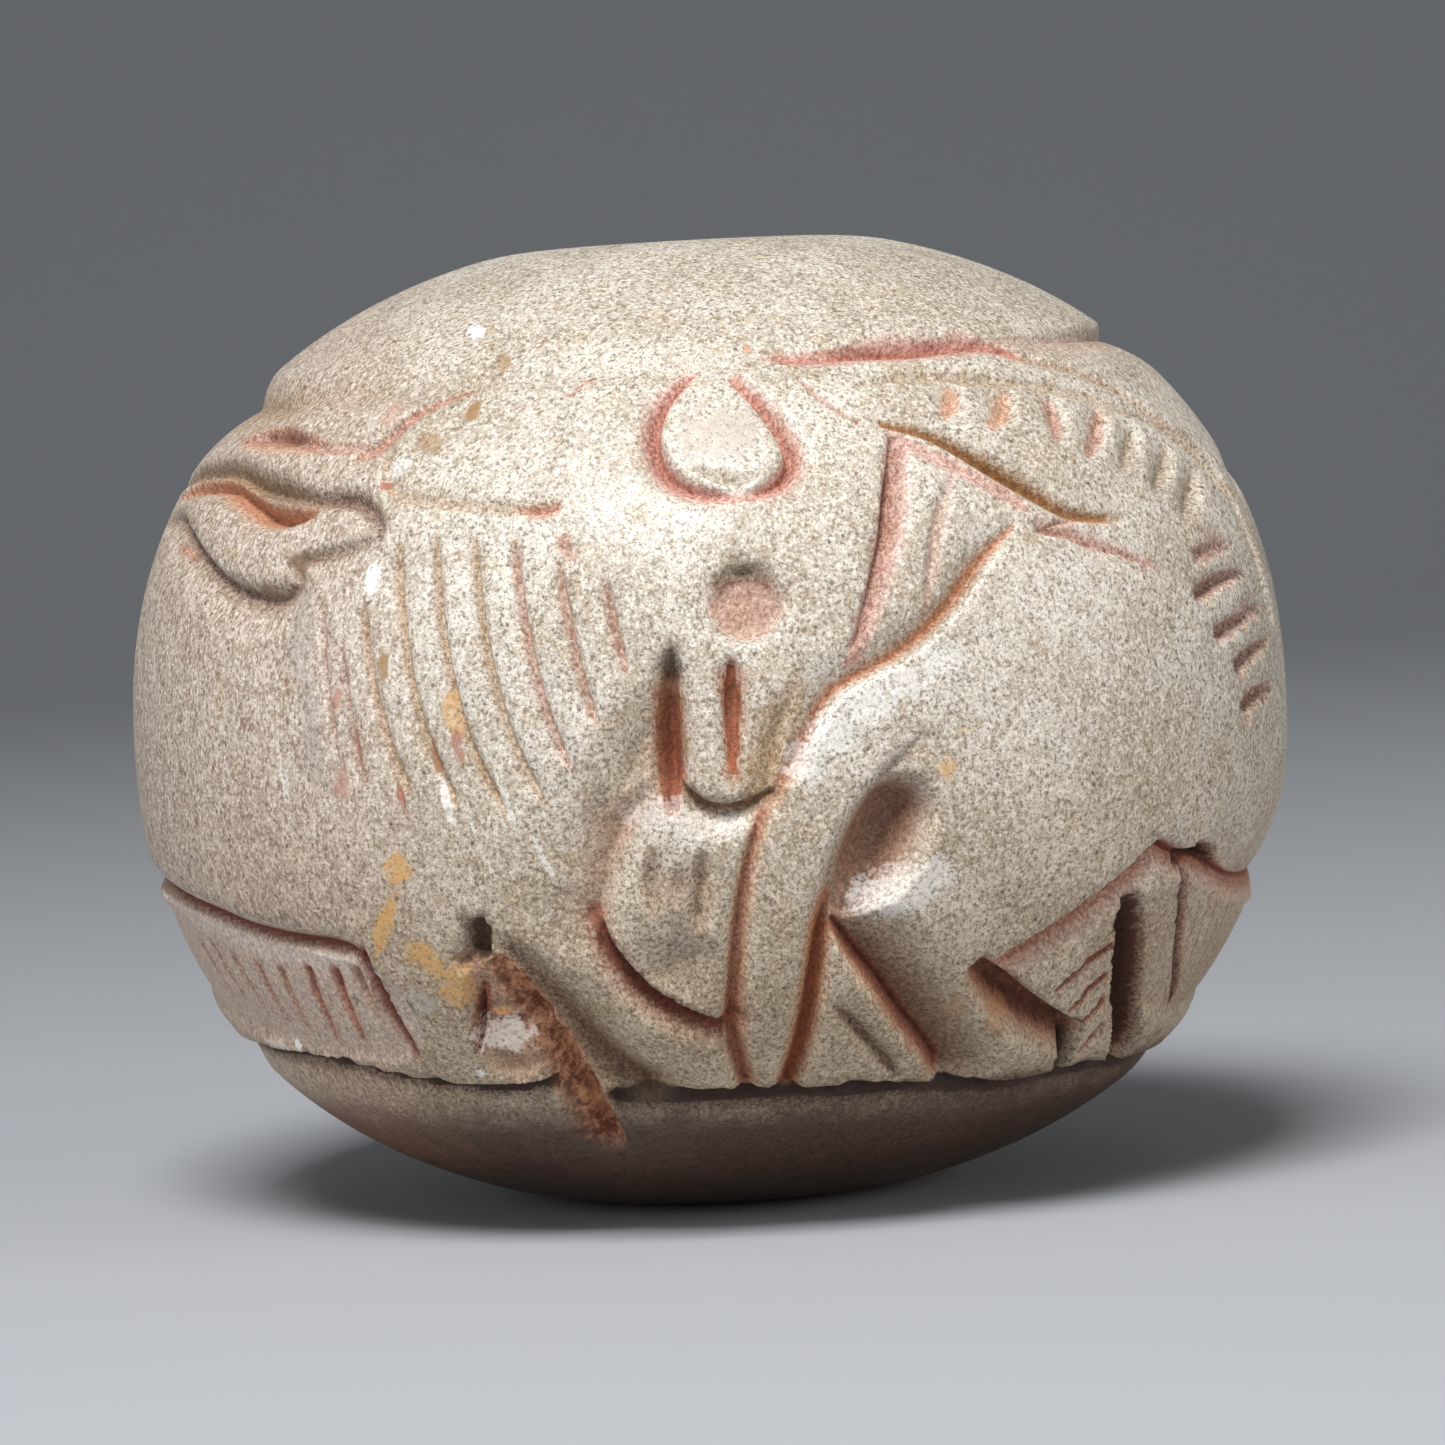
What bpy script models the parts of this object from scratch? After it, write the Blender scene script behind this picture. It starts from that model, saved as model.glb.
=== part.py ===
"""A large stone amulet bead, carved all round with a frieze of animals.

The bead is one stone: a full, flattened ball with a straight bore from top to foot and a small
flat round each mouth of the bore. Metres, +Z up along the bore. The origin lies on the bore's
axis at the foot. Places on the skin are an azimuth in degrees, 0 at the front (-Y) and growing
towards +X, and a height in per cent of the bead's own height.
"""

import math

import bmesh
import bpy
import numpy as np
from mathutils import Vector
from mathutils.geometry import delaunay_2d_cdt

for item in list(bpy.data.objects):
    bpy.data.objects.remove(item, do_unlink=True)

# The turned blank
WIDTH = 0.0300
HEIGHT = 0.0246
FULLNESS = 2.26
FLAT_RADIUS = 0.0043
BORE_RADIUS = 0.0019

# How deep each kind of cut goes
RIB_DEPTH = 0.00020
HOLLOW_DEPTH = 0.00028
LINE_DEPTH = 0.00034
BORDER_DEPTH = 0.00042
STEP_DEPTH = 0.00048
TRENCH_DEPTH = 0.00072
PIT_DEPTH = 0.00096

# How far a cut's wall reaches from the bottom of the cut
WALL = 0.00014
LINE_WALL = 0.00020
GROOVE_WALL = 0.00030
TRENCH_WALL = 0.00042
RAMP = 0.00060
SLOPE = 0.00090
BANK = 0.00160
FIELD = 0.00200

# Drilled pits, and the share of a cut's width that is flat floor
DIMPLE_RADIUS = 0.00092
DRILLED_FLOOR = 0.80
HOLE_FLOOR = 0.50
SLIT_FLOOR = 0.30
FLAKE_FLOOR = 0.20
GAP_FLOOR = 0.45
FIELD_FLOOR = 0.80

# A wall is straight where this is 1 and hollow above it
WALL_CURVE = 1.25
# A cut with no depths of its own runs out over this length at both ends
RUN_OUT = 0.0007

# Fineness of the faceted skin
LINE_STEP = 0.00080
PLAIN_STEP = 0.00190
CLEARANCE = 0.00060
SEAM_CLEARANCE = 0.00030
WIDE_WALL = 0.00070
WALL_MIDDLE = 0.45
MIN_STOPS = 3
RIM_FINENESS = 3
ARC_STEPS = 6
WELD = 0.00003
SEAM_WELD = 0.000003
PROFILE_STEPS = 600
SPLINE_STEPS = 24
CREASE = 35

RADIUS = WIDTH / 2
MIDDLE = HEIGHT / 2
REACH = MIDDLE / (1 - (FLAT_RADIUS / RADIUS) ** FULLNESS) ** (1 / FULLNESS)


def radius_at(height):
    """Radius of the blank at heights above the foot."""
    rise = np.abs(np.asarray(height) - MIDDLE) / REACH
    return RADIUS * (1 - rise**FULLNESS) ** (1 / FULLNESS)


def on_blank(azimuth, share):
    """Points of the blank's skin."""
    height = np.asarray(share) / 100 * HEIGHT
    radius = radius_at(height)
    turn = np.radians(azimuth)
    return np.stack((radius * np.sin(turn), -radius * np.cos(turn), height), -1)


def normals_at(points):
    """The blank's outward normals."""
    radius = np.hypot(points[:, 0], points[:, 1])
    rise = (points[:, 2] - MIDDLE) / REACH
    outward = (radius / RADIUS) ** (FULLNESS - 1) / RADIUS
    upward = np.sign(rise) * np.abs(rise) ** (FULLNESS - 1) / REACH
    normals = np.column_stack((points[:, :2] / radius[:, None] * outward[:, None], upward))
    return normals / np.linalg.norm(normals, axis=1)[:, None]


PROFILE_HEIGHTS = np.linspace(0, HEIGHT, PROFILE_STEPS)
PROFILE_RADII = radius_at(PROFILE_HEIGHTS)
PROFILE_LENGTHS = np.append(0, np.cumsum(np.hypot(np.diff(PROFILE_HEIGHTS), np.diff(PROFILE_RADII))))
SKIN_LENGTH = PROFILE_LENGTHS[-1]
SKIN_HALF = math.pi * RADIUS


def unrolled(points, near):
    """Skin points laid flat: the way round at the widest girth, and the way up the profile."""
    turn = np.arctan2(points[:, 0], -points[:, 1])
    turn += 2 * math.pi * np.round((near - turn) / (2 * math.pi))
    return np.column_stack((turn * RADIUS, np.interp(points[:, 2], PROFILE_HEIGHTS, PROFILE_LENGTHS)))


def rolled(flat):
    """Flat points laid back on the blank."""
    height = np.interp(flat[:, 1], PROFILE_LENGTHS, PROFILE_HEIGHTS)
    radius = radius_at(height)
    turn = flat[:, 0] / RADIUS
    return np.column_stack((radius * np.sin(turn), -radius * np.cos(turn), height))


def along(values, count, steps):
    """Values at the knots, read at even steps of a smooth curve through them."""
    knots = np.array(values, float).reshape(count, -1)
    padded = np.vstack((2 * knots[0] - knots[1], knots, 2 * knots[-1] - knots[-2]))
    place = np.linspace(0, count - 1, steps)
    first = np.minimum(place.astype(int), count - 2)
    t = (place - first)[:, None]
    a, b, c, d = (padded[first + shift] for shift in range(4))
    return b + t / 2 * (c - a + t * (2 * a - 5 * b + 4 * c - d + t * (3 * (b - c) + d - a)))


class Cut:
    """One cut: a curve on the skin, its depth, and how far the walls reach to either hand.

    Left and right are those of someone who walks along the curve on the outside of the bead. The
    swell gives shares of the full cut at the knots, and a cut without one runs out at both ends.
    A floor above 0 is the share of the width that stays flat at full depth.
    """

    def __init__(self, knots, depth, left, right, swell=None, floor=0.0, closed=False):
        count = len(knots)
        dense = (count - 1) * SPLINE_STEPS + 1
        places = along(knots, count, dense)
        curve = on_blank(places[:, 0], places[:, 1])
        walked = np.append(0, np.cumsum(np.linalg.norm(np.diff(curve, axis=0), axis=1)))
        stops = np.linspace(0, walked[-1], max(MIN_STOPS, round(walked[-1] / LINE_STEP) + 1))
        self.turn = np.radians(np.interp(stops, walked, places[:, 0]))
        self.points = on_blank(np.degrees(self.turn), np.interp(stops, walked, places[:, 1]))
        self.floor, self.closed, self.blunt = floor, closed, swell is not None
        if self.blunt:
            share = np.interp(stops, walked, np.clip(along(swell, count, dense)[:, 0], 0, None))
        elif closed:
            share = np.ones(len(stops))
        else:
            share = np.clip(np.minimum(stops, stops[-1] - stops) / min(RUN_OUT, stops[-1] / 2), 0, 1)
        self.depth = depth * share
        self.left, self.right = left * np.sqrt(share), right * np.sqrt(share)

    def fall(self, points, normals):
        """The depth of this cut at points of the skin."""
        start, run = self.points[:-1], np.diff(self.points, axis=0)
        offset = points[:, None] - start
        share = np.clip(np.einsum("psk,sk->ps", offset, run) / np.sum(run**2, axis=1), 0, 1)
        offset = offset - share[..., None] * run
        gap = np.linalg.norm(offset, axis=2)
        nearest = np.argmin(gap, axis=1)
        row = np.arange(len(points))
        offset, share, gap = offset[row, nearest], share[row, nearest], gap[row, nearest]

        def read(values):
            return values[nearest] + share * (values[nearest + 1] - values[nearest])

        right_hand = np.cross(run[nearest], normals)
        right_hand /= np.linalg.norm(right_hand, axis=1)[:, None]
        lean = np.sum(right_hand * offset, axis=1) / np.maximum(gap, 1e-9)
        left, right = read(self.left), read(self.right)
        width = np.maximum((left + right + (right - left) * lean) / 2, 1e-9)
        wall = np.clip((1 - gap / width) / (1 - self.floor), 0, 1)
        return read(self.depth) * wall**WALL_CURVE

    def ring(self, part, heading, right_hand):
        """A line round the cut at a share of its width, with round ends."""
        left = self.points - right_hand * (part * self.left)[:, None]
        right = self.points + right_hand * (part * self.right)[:, None]
        caps = []
        for end, sign in ((-1, 1), (0, -1)):
            angles = np.radians(np.linspace(-90, 90, ARC_STEPS + 2)[1:-1])
            aside = sign * np.sin(angles)
            left_wall, right_wall = self.left[end], self.right[end]
            width = (left_wall + right_wall + (right_wall - left_wall) * aside) / 2
            way = sign * np.cos(angles)[:, None] * heading[end] + aside[:, None] * right_hand[end]
            caps.append(self.points[end] + part * width[:, None] * way)
        ends = np.repeat(self.turn[[-1, 0]], ARC_STEPS)
        near = np.concatenate((self.turn, ends[:ARC_STEPS], self.turn[::-1], ends[ARC_STEPS:]))
        line = unrolled(np.vstack((left, caps[0], right[::-1], caps[1])), near)
        return np.vstack((line, line[:1]))

    def folds(self):
        """Flat lines along which the skin bends: the bottom, the middles of wide walls, the rims."""
        normals = normals_at(self.points)
        heading = np.gradient(self.points, axis=0)
        if self.closed:
            heading[[0, -1], 2] = 0
        heading /= np.linalg.norm(heading, axis=1)[:, None]
        right_hand = np.cross(heading, normals)
        shares = [1.0]
        if self.floor:
            shares.append(self.floor)
        elif max(self.left.max(), self.right.max()) > WIDE_WALL:
            shares.append(WALL_MIDDLE)
        lines = [unrolled(self.points, self.turn)]
        for part in shares:
            if self.blunt:
                lines.append(self.ring(part, heading, right_hand))
            else:
                lines.append(unrolled(self.points - right_hand * (part * self.left)[:, None], self.turn))
                lines.append(unrolled(self.points + right_hand * (part * self.right)[:, None], self.turn))
        return lines


def pit(azimuth, share, radius, depth, floor):
    """A round drilled pit with a flat floor."""
    nudge = 0.01
    knots = [(azimuth, share - nudge), (azimuth, share + nudge)]
    return Cut(knots, depth, radius, radius, swell=(1, 1), floor=floor)


def borders():
    """The step under the upper cap, the red line that leaves it, and the line above the foot."""
    collar = [(-180, 87), (-130, 86.6), (-88, 86.2), (-65, 85.9), (-55, 86.5), (-45, 86.6), (-38, 86.2)]
    yield Cut(collar, BORDER_DEPTH, SLOPE, BANK, swell=(0.6, 0.7, 1.1, 1, 0.6, 0.4, 0.2))
    brow = [(-60, 86.2), (-46, 86.5), (-36, 86), (-27, 86.6), (-11, 86.8), (-1, 86.3), (7, 87)]
    yield Cut(brow, RIB_DEPTH, SLOPE, SLOPE, swell=(0.5, 1, 1, 0.8, 0.7, 0.7, 0.3))
    red_line = [(9, 87.5), (18.2, 87.5), (22, 88), (28.6, 88.1), (36, 88.2), (41.5, 87.8), (45.5, 86.1)]
    yield Cut(red_line, STEP_DEPTH, WALL, RAMP, swell=(0.1, 0.7, 1.1, 1.3, 1.1, 0.8, 0.3))
    cap_edge = [(42, 88.2), (55, 88), (72, 88.4), (90, 88.4), (130, 87.2), (180, 87)]
    yield Cut(cap_edge, LINE_DEPTH, LINE_WALL, SLOPE, swell=(0.2, 0.7, 1, 1.1, 1, 1))
    foot_left = [(-180, 17.5), (-110, 19), (-80, 19.2), (-68.7, 18.9), (-59.3, 18.8), (-49, 18.2),
                 (-41.6, 17.1), (-34.7, 16.4), (-27.5, 16), (-18.7, 17.2)]
    foot_right = [(-13.5, 15.6), (0, 15.7), (12, 15.3), (24, 14.9), (36, 13.8), (53, 14), (75, 13.5),
                  (110, 16), (180, 17.5)]
    for line in (foot_left, foot_right):
        yield Cut(line, BORDER_DEPTH, WALL, SLOPE, closed=True)


def open_mouth():
    """The beast at the left: nostril, open jaws with a deep mouth, and the lip's underside."""
    nostril = [(-66.4, 82.4), (-61, 82.8), (-56.4, 82.7), (-51.5, 82), (-46.7, 81.2), (-42, 80.9),
               (-37.7, 80.7)]
    yield Cut(nostril, STEP_DEPTH, LINE_WALL, RAMP, swell=(0.3, 0.9, 1.1, 0.6, 0.3, 0.2, 0.2))
    mouth = [(-92, 76.2), (-80, 77.8), (-66.1, 78.2), (-58.6, 76.8), (-53.5, 75.4), (-48.8, 74.8),
             (-44, 74.9)]
    yield Cut(mouth, PIT_DEPTH, RAMP, TRENCH_WALL, swell=(0.1, 0.6, 0.8, 0.95, 1, 0.9, 0.4))
    corner = [(-52, 76.6), (-44.6, 75.8), (-39.7, 75.7), (-36.5, 74.8), (-34.2, 72.9), (-33.6, 71)]
    yield Cut(corner, BORDER_DEPTH, TRENCH_WALL, LINE_WALL, swell=(0.6, 1, 1.1, 1, 0.6, 0.1))
    lip = [(-84, 73.6), (-76.6, 74.5), (-69.5, 72.9), (-62.4, 70.5), (-56.8, 68.4), (-51.3, 67),
           (-46.5, 66.6), (-44.2, 67.9), (-44.6, 69.6), (-41.4, 70.5), (-37, 71.2), (-33.4, 72.6)]
    swell = (0.1, 0.7, 0.9, 0.9, 1, 1.1, 1.1, 0.8, 0.6, 0.6, 0.4, 0.1)
    yield Cut(lip, STEP_DEPTH, LINE_WALL, SLOPE, swell)


def rib(root_azimuth, top, end):
    """Knots of a thin rib line, nearly upright at its top and hooked towards the right below."""
    root_share, lean, hook, reach = 72, 0.17, 2.6, 27
    shares = np.linspace(end, top, 5)
    drops = root_share - shares
    azimuths = root_azimuth + lean * drops + hook * (drops / reach) ** 4
    return list(zip(azimuths, shares))


def ribs():
    """The fan of ribs down the left beast's neck."""
    first, pitch = -35.5, 4.25
    tops = (66, 71.5, 72, 72, 71.5, 69, 67)
    ends = (46, 45, 44, 45, 48, 52, 57)
    for number, (top, end) in enumerate(zip(tops, ends)):
        yield Cut(rib(first + pitch * number, top, end), RIB_DEPTH, GROOVE_WALL, WALL)


def head():
    """The head at the front: ringed boss, drilled eye, slits, muzzle, cheek, ear and mane."""
    ring = [(0.2, 86), (-2.6, 83.9), (-4, 81.5), (-4, 79.1), (-2.7, 76.7), (0, 75), (4.4, 74), (7.4, 75),
            (9.3, 76.6), (9.6, 78.8), (7.6, 82.4), (4.8, 85.3)]
    swell = (0.3, 0.8, 1.1, 1.1, 1.2, 1, 0.35, 0.9, 1.2, 1.1, 0.8, 0.4)
    yield Cut(ring, STEP_DEPTH, WALL, RAMP, swell)
    yield pit(3.9, 63.6, DIMPLE_RADIUS, STEP_DEPTH, DRILLED_FLOOR)
    left_slit = [(-3.7, 44.6), (-3.6, 48), (-3.5, 52), (-3.3, 56), (-3.2, 58.6)]
    yield Cut(left_slit, PIT_DEPTH, SLOPE, TRENCH_WALL, swell=(0.35, 1, 0.95, 0.6, 0.05))
    right_slit = [(1.9, 46.6), (1.95, 50), (2.1, 54), (2.2, 57.6)]
    yield Cut(right_slit, STEP_DEPTH, GROOVE_WALL, GROOVE_WALL, swell=(0.15, 0.6, 1, 0.5), floor=SLIT_FLOOR)
    muzzle = [(-3.8, 47.6), (-2.2, 45.9), (-0.8, 44.6), (1, 44.1), (2.9, 44.5), (5, 45.4)]
    yield Cut(muzzle, TRENCH_DEPTH, WALL, RAMP, swell=(0.7, 0.9, 1, 1, 0.9, 0.8))
    jowl = [(-9.6, 44), (-7.4, 48.5), (-5.6, 52.3), (-4, 57)]
    yield Cut(jowl, STEP_DEPTH, SLOPE, SLOPE, swell=(0.5, 1, 0.8, 0.1))
    muzzle_side = [(4.6, 45.4), (5.5, 49.1), (6.5, 52.3), (8.2, 55.4)]
    yield Cut(muzzle_side, BORDER_DEPTH, RAMP, RAMP, swell=(0.8, 1, 0.8, 0.2))
    cheek = [(13.1, 57.4), (14.7, 61.7), (16.4, 66), (18, 69.9), (19.3, 73.8), (21.3, 78.6)]
    yield Cut(cheek, BORDER_DEPTH, WALL, RAMP, swell=(0.3, 0.6, 0.8, 1.1, 1.2, 0.8))
    fold = [(20.6, 60.4), (22.2, 65.2), (23.4, 69), (24.8, 72), (27, 75)]
    yield Cut(fold, HOLLOW_DEPTH, LINE_WALL, GROOVE_WALL, swell=(0.4, 1, 1, 0.8, 0.2))
    ear = [(20.8, 80.2), (25.3, 79.2), (28.4, 77.8), (31.7, 75.8), (34.7, 73.8), (37.1, 72.1), (39.7, 70.4),
           (43.7, 69.6), (47, 69.4)]
    yield Cut(ear, BORDER_DEPTH, TRENCH_WALL, TRENCH_WALL, swell=(0.3, 0.6, 0.9, 1.2, 1.2, 1, 0.7, 0.4, 0.1))
    ear_tip = [(35.6, 68.8), (38.4, 68.2), (40.5, 67.2), (44.4, 66), (50.8, 63.8)]
    yield Cut(ear_tip, HOLLOW_DEPTH, TRENCH_WALL, WALL, swell=(1, 1, 0.8, 0.5, 0.1))
    mane = [(19.6, 84.2), (27.2, 84.9), (35.4, 84.2), (44.6, 83.2), (51.2, 81.9), (58.4, 79.9), (63.3, 78.3),
            (68.2, 75.2), (70.6, 71.5)]
    yield Cut(mane, RIB_DEPTH, LINE_WALL, TRENCH_WALL, swell=(0.2, 0.8, 1, 1, 0.9, 0.8, 1, 1, 0.6))


def trunk():
    """The raised limb that sweeps down the front, with the thumb-shaped hollow at its right."""
    left = [(1.6, 15.4), (0.3, 21), (0.8, 27), (1.7, 34), (2.8, 39), (4.6, 44), (7.8, 48.3)]
    yield Cut(left, STEP_DEPTH, GROOVE_WALL, TRENCH_WALL, swell=(1.1, 1.2, 1.1, 0.9, 0.7, 0.6, 0.6))
    above = [(6.4, 46.6), (7.8, 48.3), (10.1, 52.6), (12.1, 54.9), (18.3, 57.9), (23.3, 61.5), (28.1, 66.2),
             (32.4, 69.4)]
    yield Cut(above, STEP_DEPTH, SLOPE, LINE_WALL, swell=(0.7, 0.9, 0.9, 0.8, 0.9, 1, 0.9, 0.2))
    low = [(7, 15), (8.2, 18.9), (8.9, 23.2), (9.4, 27.4), (9.8, 31.5), (10.4, 34.5)]
    yield Cut(low, TRENCH_DEPTH, RAMP, GROOVE_WALL, swell=(0.8, 0.9, 0.9, 0.9, 0.8, 0.6))
    high = [(9.9, 33), (10.9, 37.4), (12.2, 40.4), (14, 43.4), (16.4, 46.6), (19.8, 49.8)]
    yield Cut(high, STEP_DEPTH, GROOVE_WALL, SLOPE, swell=(1, 1, 0.9, 0.8, 0.5, 0.1))
    thumb = [(11.8, 33.8), (13.4, 37), (15, 40), (16.6, 43)]
    yield Cut(thumb, PIT_DEPTH, SLOPE, SLOPE, swell=(0.5, 0.9, 1.1, 1), floor=FLAKE_FLOOR)


def beard():
    """The beard under the muzzle, the jaw band round it, and the two folds right of the limb."""
    edge = [(0.4, 23), (-0.8, 22.3), (-4.1, 23.6), (-7.1, 25.5), (-9.1, 27.8), (-11, 30.9), (-11.9, 34.1)]
    yield Cut(edge, STEP_DEPTH, TRENCH_WALL, WALL, swell=(1.2, 1.2, 1.2, 1.2, 1.1, 1, 0.8))
    side = [(-11.9, 34.1), (-11.1, 36.6), (-10.3, 39.3), (-8.8, 42.6), (-6, 46)]
    yield Cut(side, STEP_DEPTH, BANK, RAMP, swell=(0.9, 0.9, 1, 1, 0.7))
    band = [(-9.9, 15.6), (-12.6, 17.6), (-15.2, 21), (-18, 26), (-21, 30.4)]
    yield Cut(band, STEP_DEPTH, SLOPE, SLOPE, swell=(1.2, 1.2, 1.1, 0.9, 0.4))
    broad_fold = [(26.4, 15), (20.1, 20.4), (16.3, 24.8), (13.1, 28.6), (10.9, 32)]
    yield Cut(broad_fold, PIT_DEPTH, LINE_WALL, BANK, swell=(0.9, 1, 1, 0.9, 0.5))
    thin_fold = [(20.2, 15.2), (16.4, 18.3), (13.5, 21.1), (10.7, 23.8)]
    yield Cut(thin_fold, LINE_DEPTH, LINE_WALL, TRENCH_WALL)


def chip():
    """The old break low on the front: a drilled hole and the flakes lost below it."""
    hole = [(-24.2, 30.2), (-24.5, 32.9)]
    yield Cut(hole, PIT_DEPTH, TRENCH_WALL, TRENCH_WALL, swell=(1, 1), floor=HOLE_FLOOR)
    flake = [(-15.8, 10.2), (-14.9, 14), (-17, 20.2), (-20.4, 26.6), (-22.6, 30.4)]
    yield Cut(flake, TRENCH_DEPTH, SLOPE, GROOVE_WALL, swell=(0.1, 0.5, 0.9, 1, 0.8), floor=FLAKE_FLOOR)
    second_flake = [(-21.4, 17), (-24, 21), (-25.6, 25.4), (-25.4, 29.6)]
    yield Cut(second_flake, STEP_DEPTH, RAMP, SLOPE, swell=(0.6, 0.8, 1, 0.7), floor=FLAKE_FLOOR)


def right_body():
    """The right beast: slots in its flank, its belly's edge, the wedge and the feet below it."""
    slots = (((56.3, 61.2), (61.9, 62.4), (68.1, 62.9)), ((59, 57), (63.5, 57.9), (71.3, 59.2)),
             ((62.3, 53.4), (66.1, 54.5), (71.9, 55.6)), ((64, 49.3), (67.3, 50.3), (72.9, 50.8)))
    for slot in slots:
        yield Cut(slot, LINE_DEPTH, LINE_WALL, LINE_WALL, swell=(1, 0.8, 0.1))
    flank = [(54, 34.6), (60, 33.4), (66, 31.6), (74, 30.6), (84, 30.4), (100, 32)]
    yield Cut(flank, STEP_DEPTH, FIELD, LINE_WALL, swell=(0.1, 0.5, 0.8, 1, 1, 0.5))
    belly = [(27.6, 26.3), (30.2, 27.1), (33.3, 28.5), (36.4, 30), (39.6, 31.7), (42.5, 33.2), (45.1, 34.8),
             (48.2, 36.6), (51.9, 35.4), (55, 34.8), (60, 33.4), (66, 31.6), (74, 30.6), (84, 30.4),
             (100, 32), (116, 37), (130, 41), (146, 41)]
    yield Cut(belly, STEP_DEPTH, WALL, SLOPE)
    armpit = [(53, 34.5), (55.6, 35), (58.6, 34.4), (61, 32.8)]
    yield Cut(armpit, PIT_DEPTH, LINE_WALL, GROOVE_WALL, swell=(0.8, 1, 0.9, 0.4))
    paws = [(47, 25.5), (56, 25), (66, 23.5), (78, 22), (92, 22)]
    yield Cut(paws, HOLLOW_DEPTH, FIELD, FIELD, swell=(0.7, 1, 1, 1, 0.5), floor=FIELD_FLOOR)
    gap = [(56.5, 14.2), (51.6, 18.4), (48.4, 22.2), (46.5, 25.6), (45.1, 29), (44.2, 32)]
    yield Cut(gap, PIT_DEPTH, LINE_WALL, SLOPE, swell=(0.7, 1, 1.1, 1.1, 0.7, 0.1), floor=GAP_FLOOR)
    leg_edge = [(67, 17.6), (59.5, 23.2), (56.2, 27.8), (54.4, 31.6), (52.8, 34.8)]
    yield Cut(leg_edge, BORDER_DEPTH, WALL, RAMP)
    hollow = [(28.2, 25.9), (31, 24.2), (34.6, 22), (38.4, 20.2), (42.8, 18.6)]
    yield Cut(hollow, PIT_DEPTH, WALL, SLOPE, swell=(0.7, 1, 1, 1, 0.9), floor=FLAKE_FLOOR)
    notch = [(45.6, 13.8), (44.2, 16), (43.2, 18.4)]
    yield Cut(notch, TRENCH_DEPTH, LINE_WALL, LINE_WALL, swell=(0.9, 1, 1))
    for hatch in (((37.6, 22.9), (40.9, 24.9), (44.4, 26.5)), ((41, 20.5), (43.2, 22), (45.2, 23.3))):
        yield Cut(hatch, HOLLOW_DEPTH, WALL, GROOVE_WALL)


def left_leg():
    """The left beast's belly edge and the hatched leg folded under it."""
    belly = [(-160, 18), (-145, 23), (-130, 29), (-112, 34), (-95, 37.4), (-84, 37.4), (-74.3, 36.7),
             (-66.3, 34.9), (-60.3, 33.7), (-54.2, 32.5), (-46.4, 31.5), (-41.8, 30.8), (-37.8, 30.1)]
    yield Cut(belly, STEP_DEPTH, TRENCH_WALL, TRENCH_WALL)
    leg = [(-40.5, 22.5), (-52, 23.5), (-64, 25), (-78, 26), (-92, 26.5)]
    yield Cut(leg, HOLLOW_DEPTH, FIELD, FIELD, swell=(0.6, 0.9, 0.9, 0.8, 0.4), floor=FIELD_FLOOR)
    knee = [(-36.6, 18.6), (-37.4, 22), (-38, 26), (-37.6, 30)]
    yield Cut(knee, LINE_DEPTH, TRENCH_WALL, WALL)
    hatches = (((-57.3, 23), (-58.4, 28.7)), ((-53.2, 22.8), (-53.6, 28)), ((-49.3, 21.4), (-48.4, 28)),
               ((-43.8, 21.8), (-44, 28)))
    for hatch in hatches:
        yield Cut(hatch, BORDER_DEPTH, WALL, LINE_WALL)


def back():
    """The far side: a plainer flank with ribs, limbs and a haunch."""
    first, pitch, top, end = 100, 7, 72, 50
    for azimuth in first + pitch * np.arange(6):
        yield Cut(rib(azimuth, top, end), RIB_DEPTH, GROOVE_WALL, WALL)
    mane = [(78, 71), (92, 76), (112, 79), (132, 77), (148, 70), (155, 60)]
    yield Cut(mane, BORDER_DEPTH, WALL, RAMP)
    for limb in (((100, 17), (103, 25), (110, 34)), ((119, 17), (122, 25), (127, 34))):
        yield Cut(limb, LINE_DEPTH, LINE_WALL, GROOVE_WALL)
    for azimuth in (160, 171):
        neck = [(azimuth, 17.4), (azimuth - 1, 35), (azimuth + 1, 52), (azimuth + 5, 70)]
        yield Cut(neck, BORDER_DEPTH, LINE_WALL, LINE_WALL)
    haunch = [(-172, 60), (-165, 70), (-150, 76), (-130, 76), (-112, 68), (-106, 58), (-110, 48)]
    yield Cut(haunch, BORDER_DEPTH, RAMP, WALL)


cuts = [cut for group in (borders, open_mouth, ribs, head, trunk, beard, chip, right_body, left_leg, back)
        for cut in group()]

# The bending lines of all cuts, laid flat with a lattice of plain points between them
flat_points = []
flat_lines = []


def add_line(line):
    """Add one bending line, kept on the flat skin and ending on the seam where it comes near it."""
    line = np.clip(line, (-SKIN_HALF, WELD), (SKIN_HALF, SKIN_LENGTH - WELD))
    at_seam = np.abs(line[:, 0]) > SKIN_HALF - WELD
    line[at_seam, 0] = np.sign(line[at_seam, 0]) * SKIN_HALF
    first = len(flat_points)
    flat_points.extend(line)
    flat_lines.extend((first + step, first + step + 1) for step in range(len(line) - 1))


for cut in cuts:
    for fold in cut.folds():
        add_line(fold)

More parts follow.
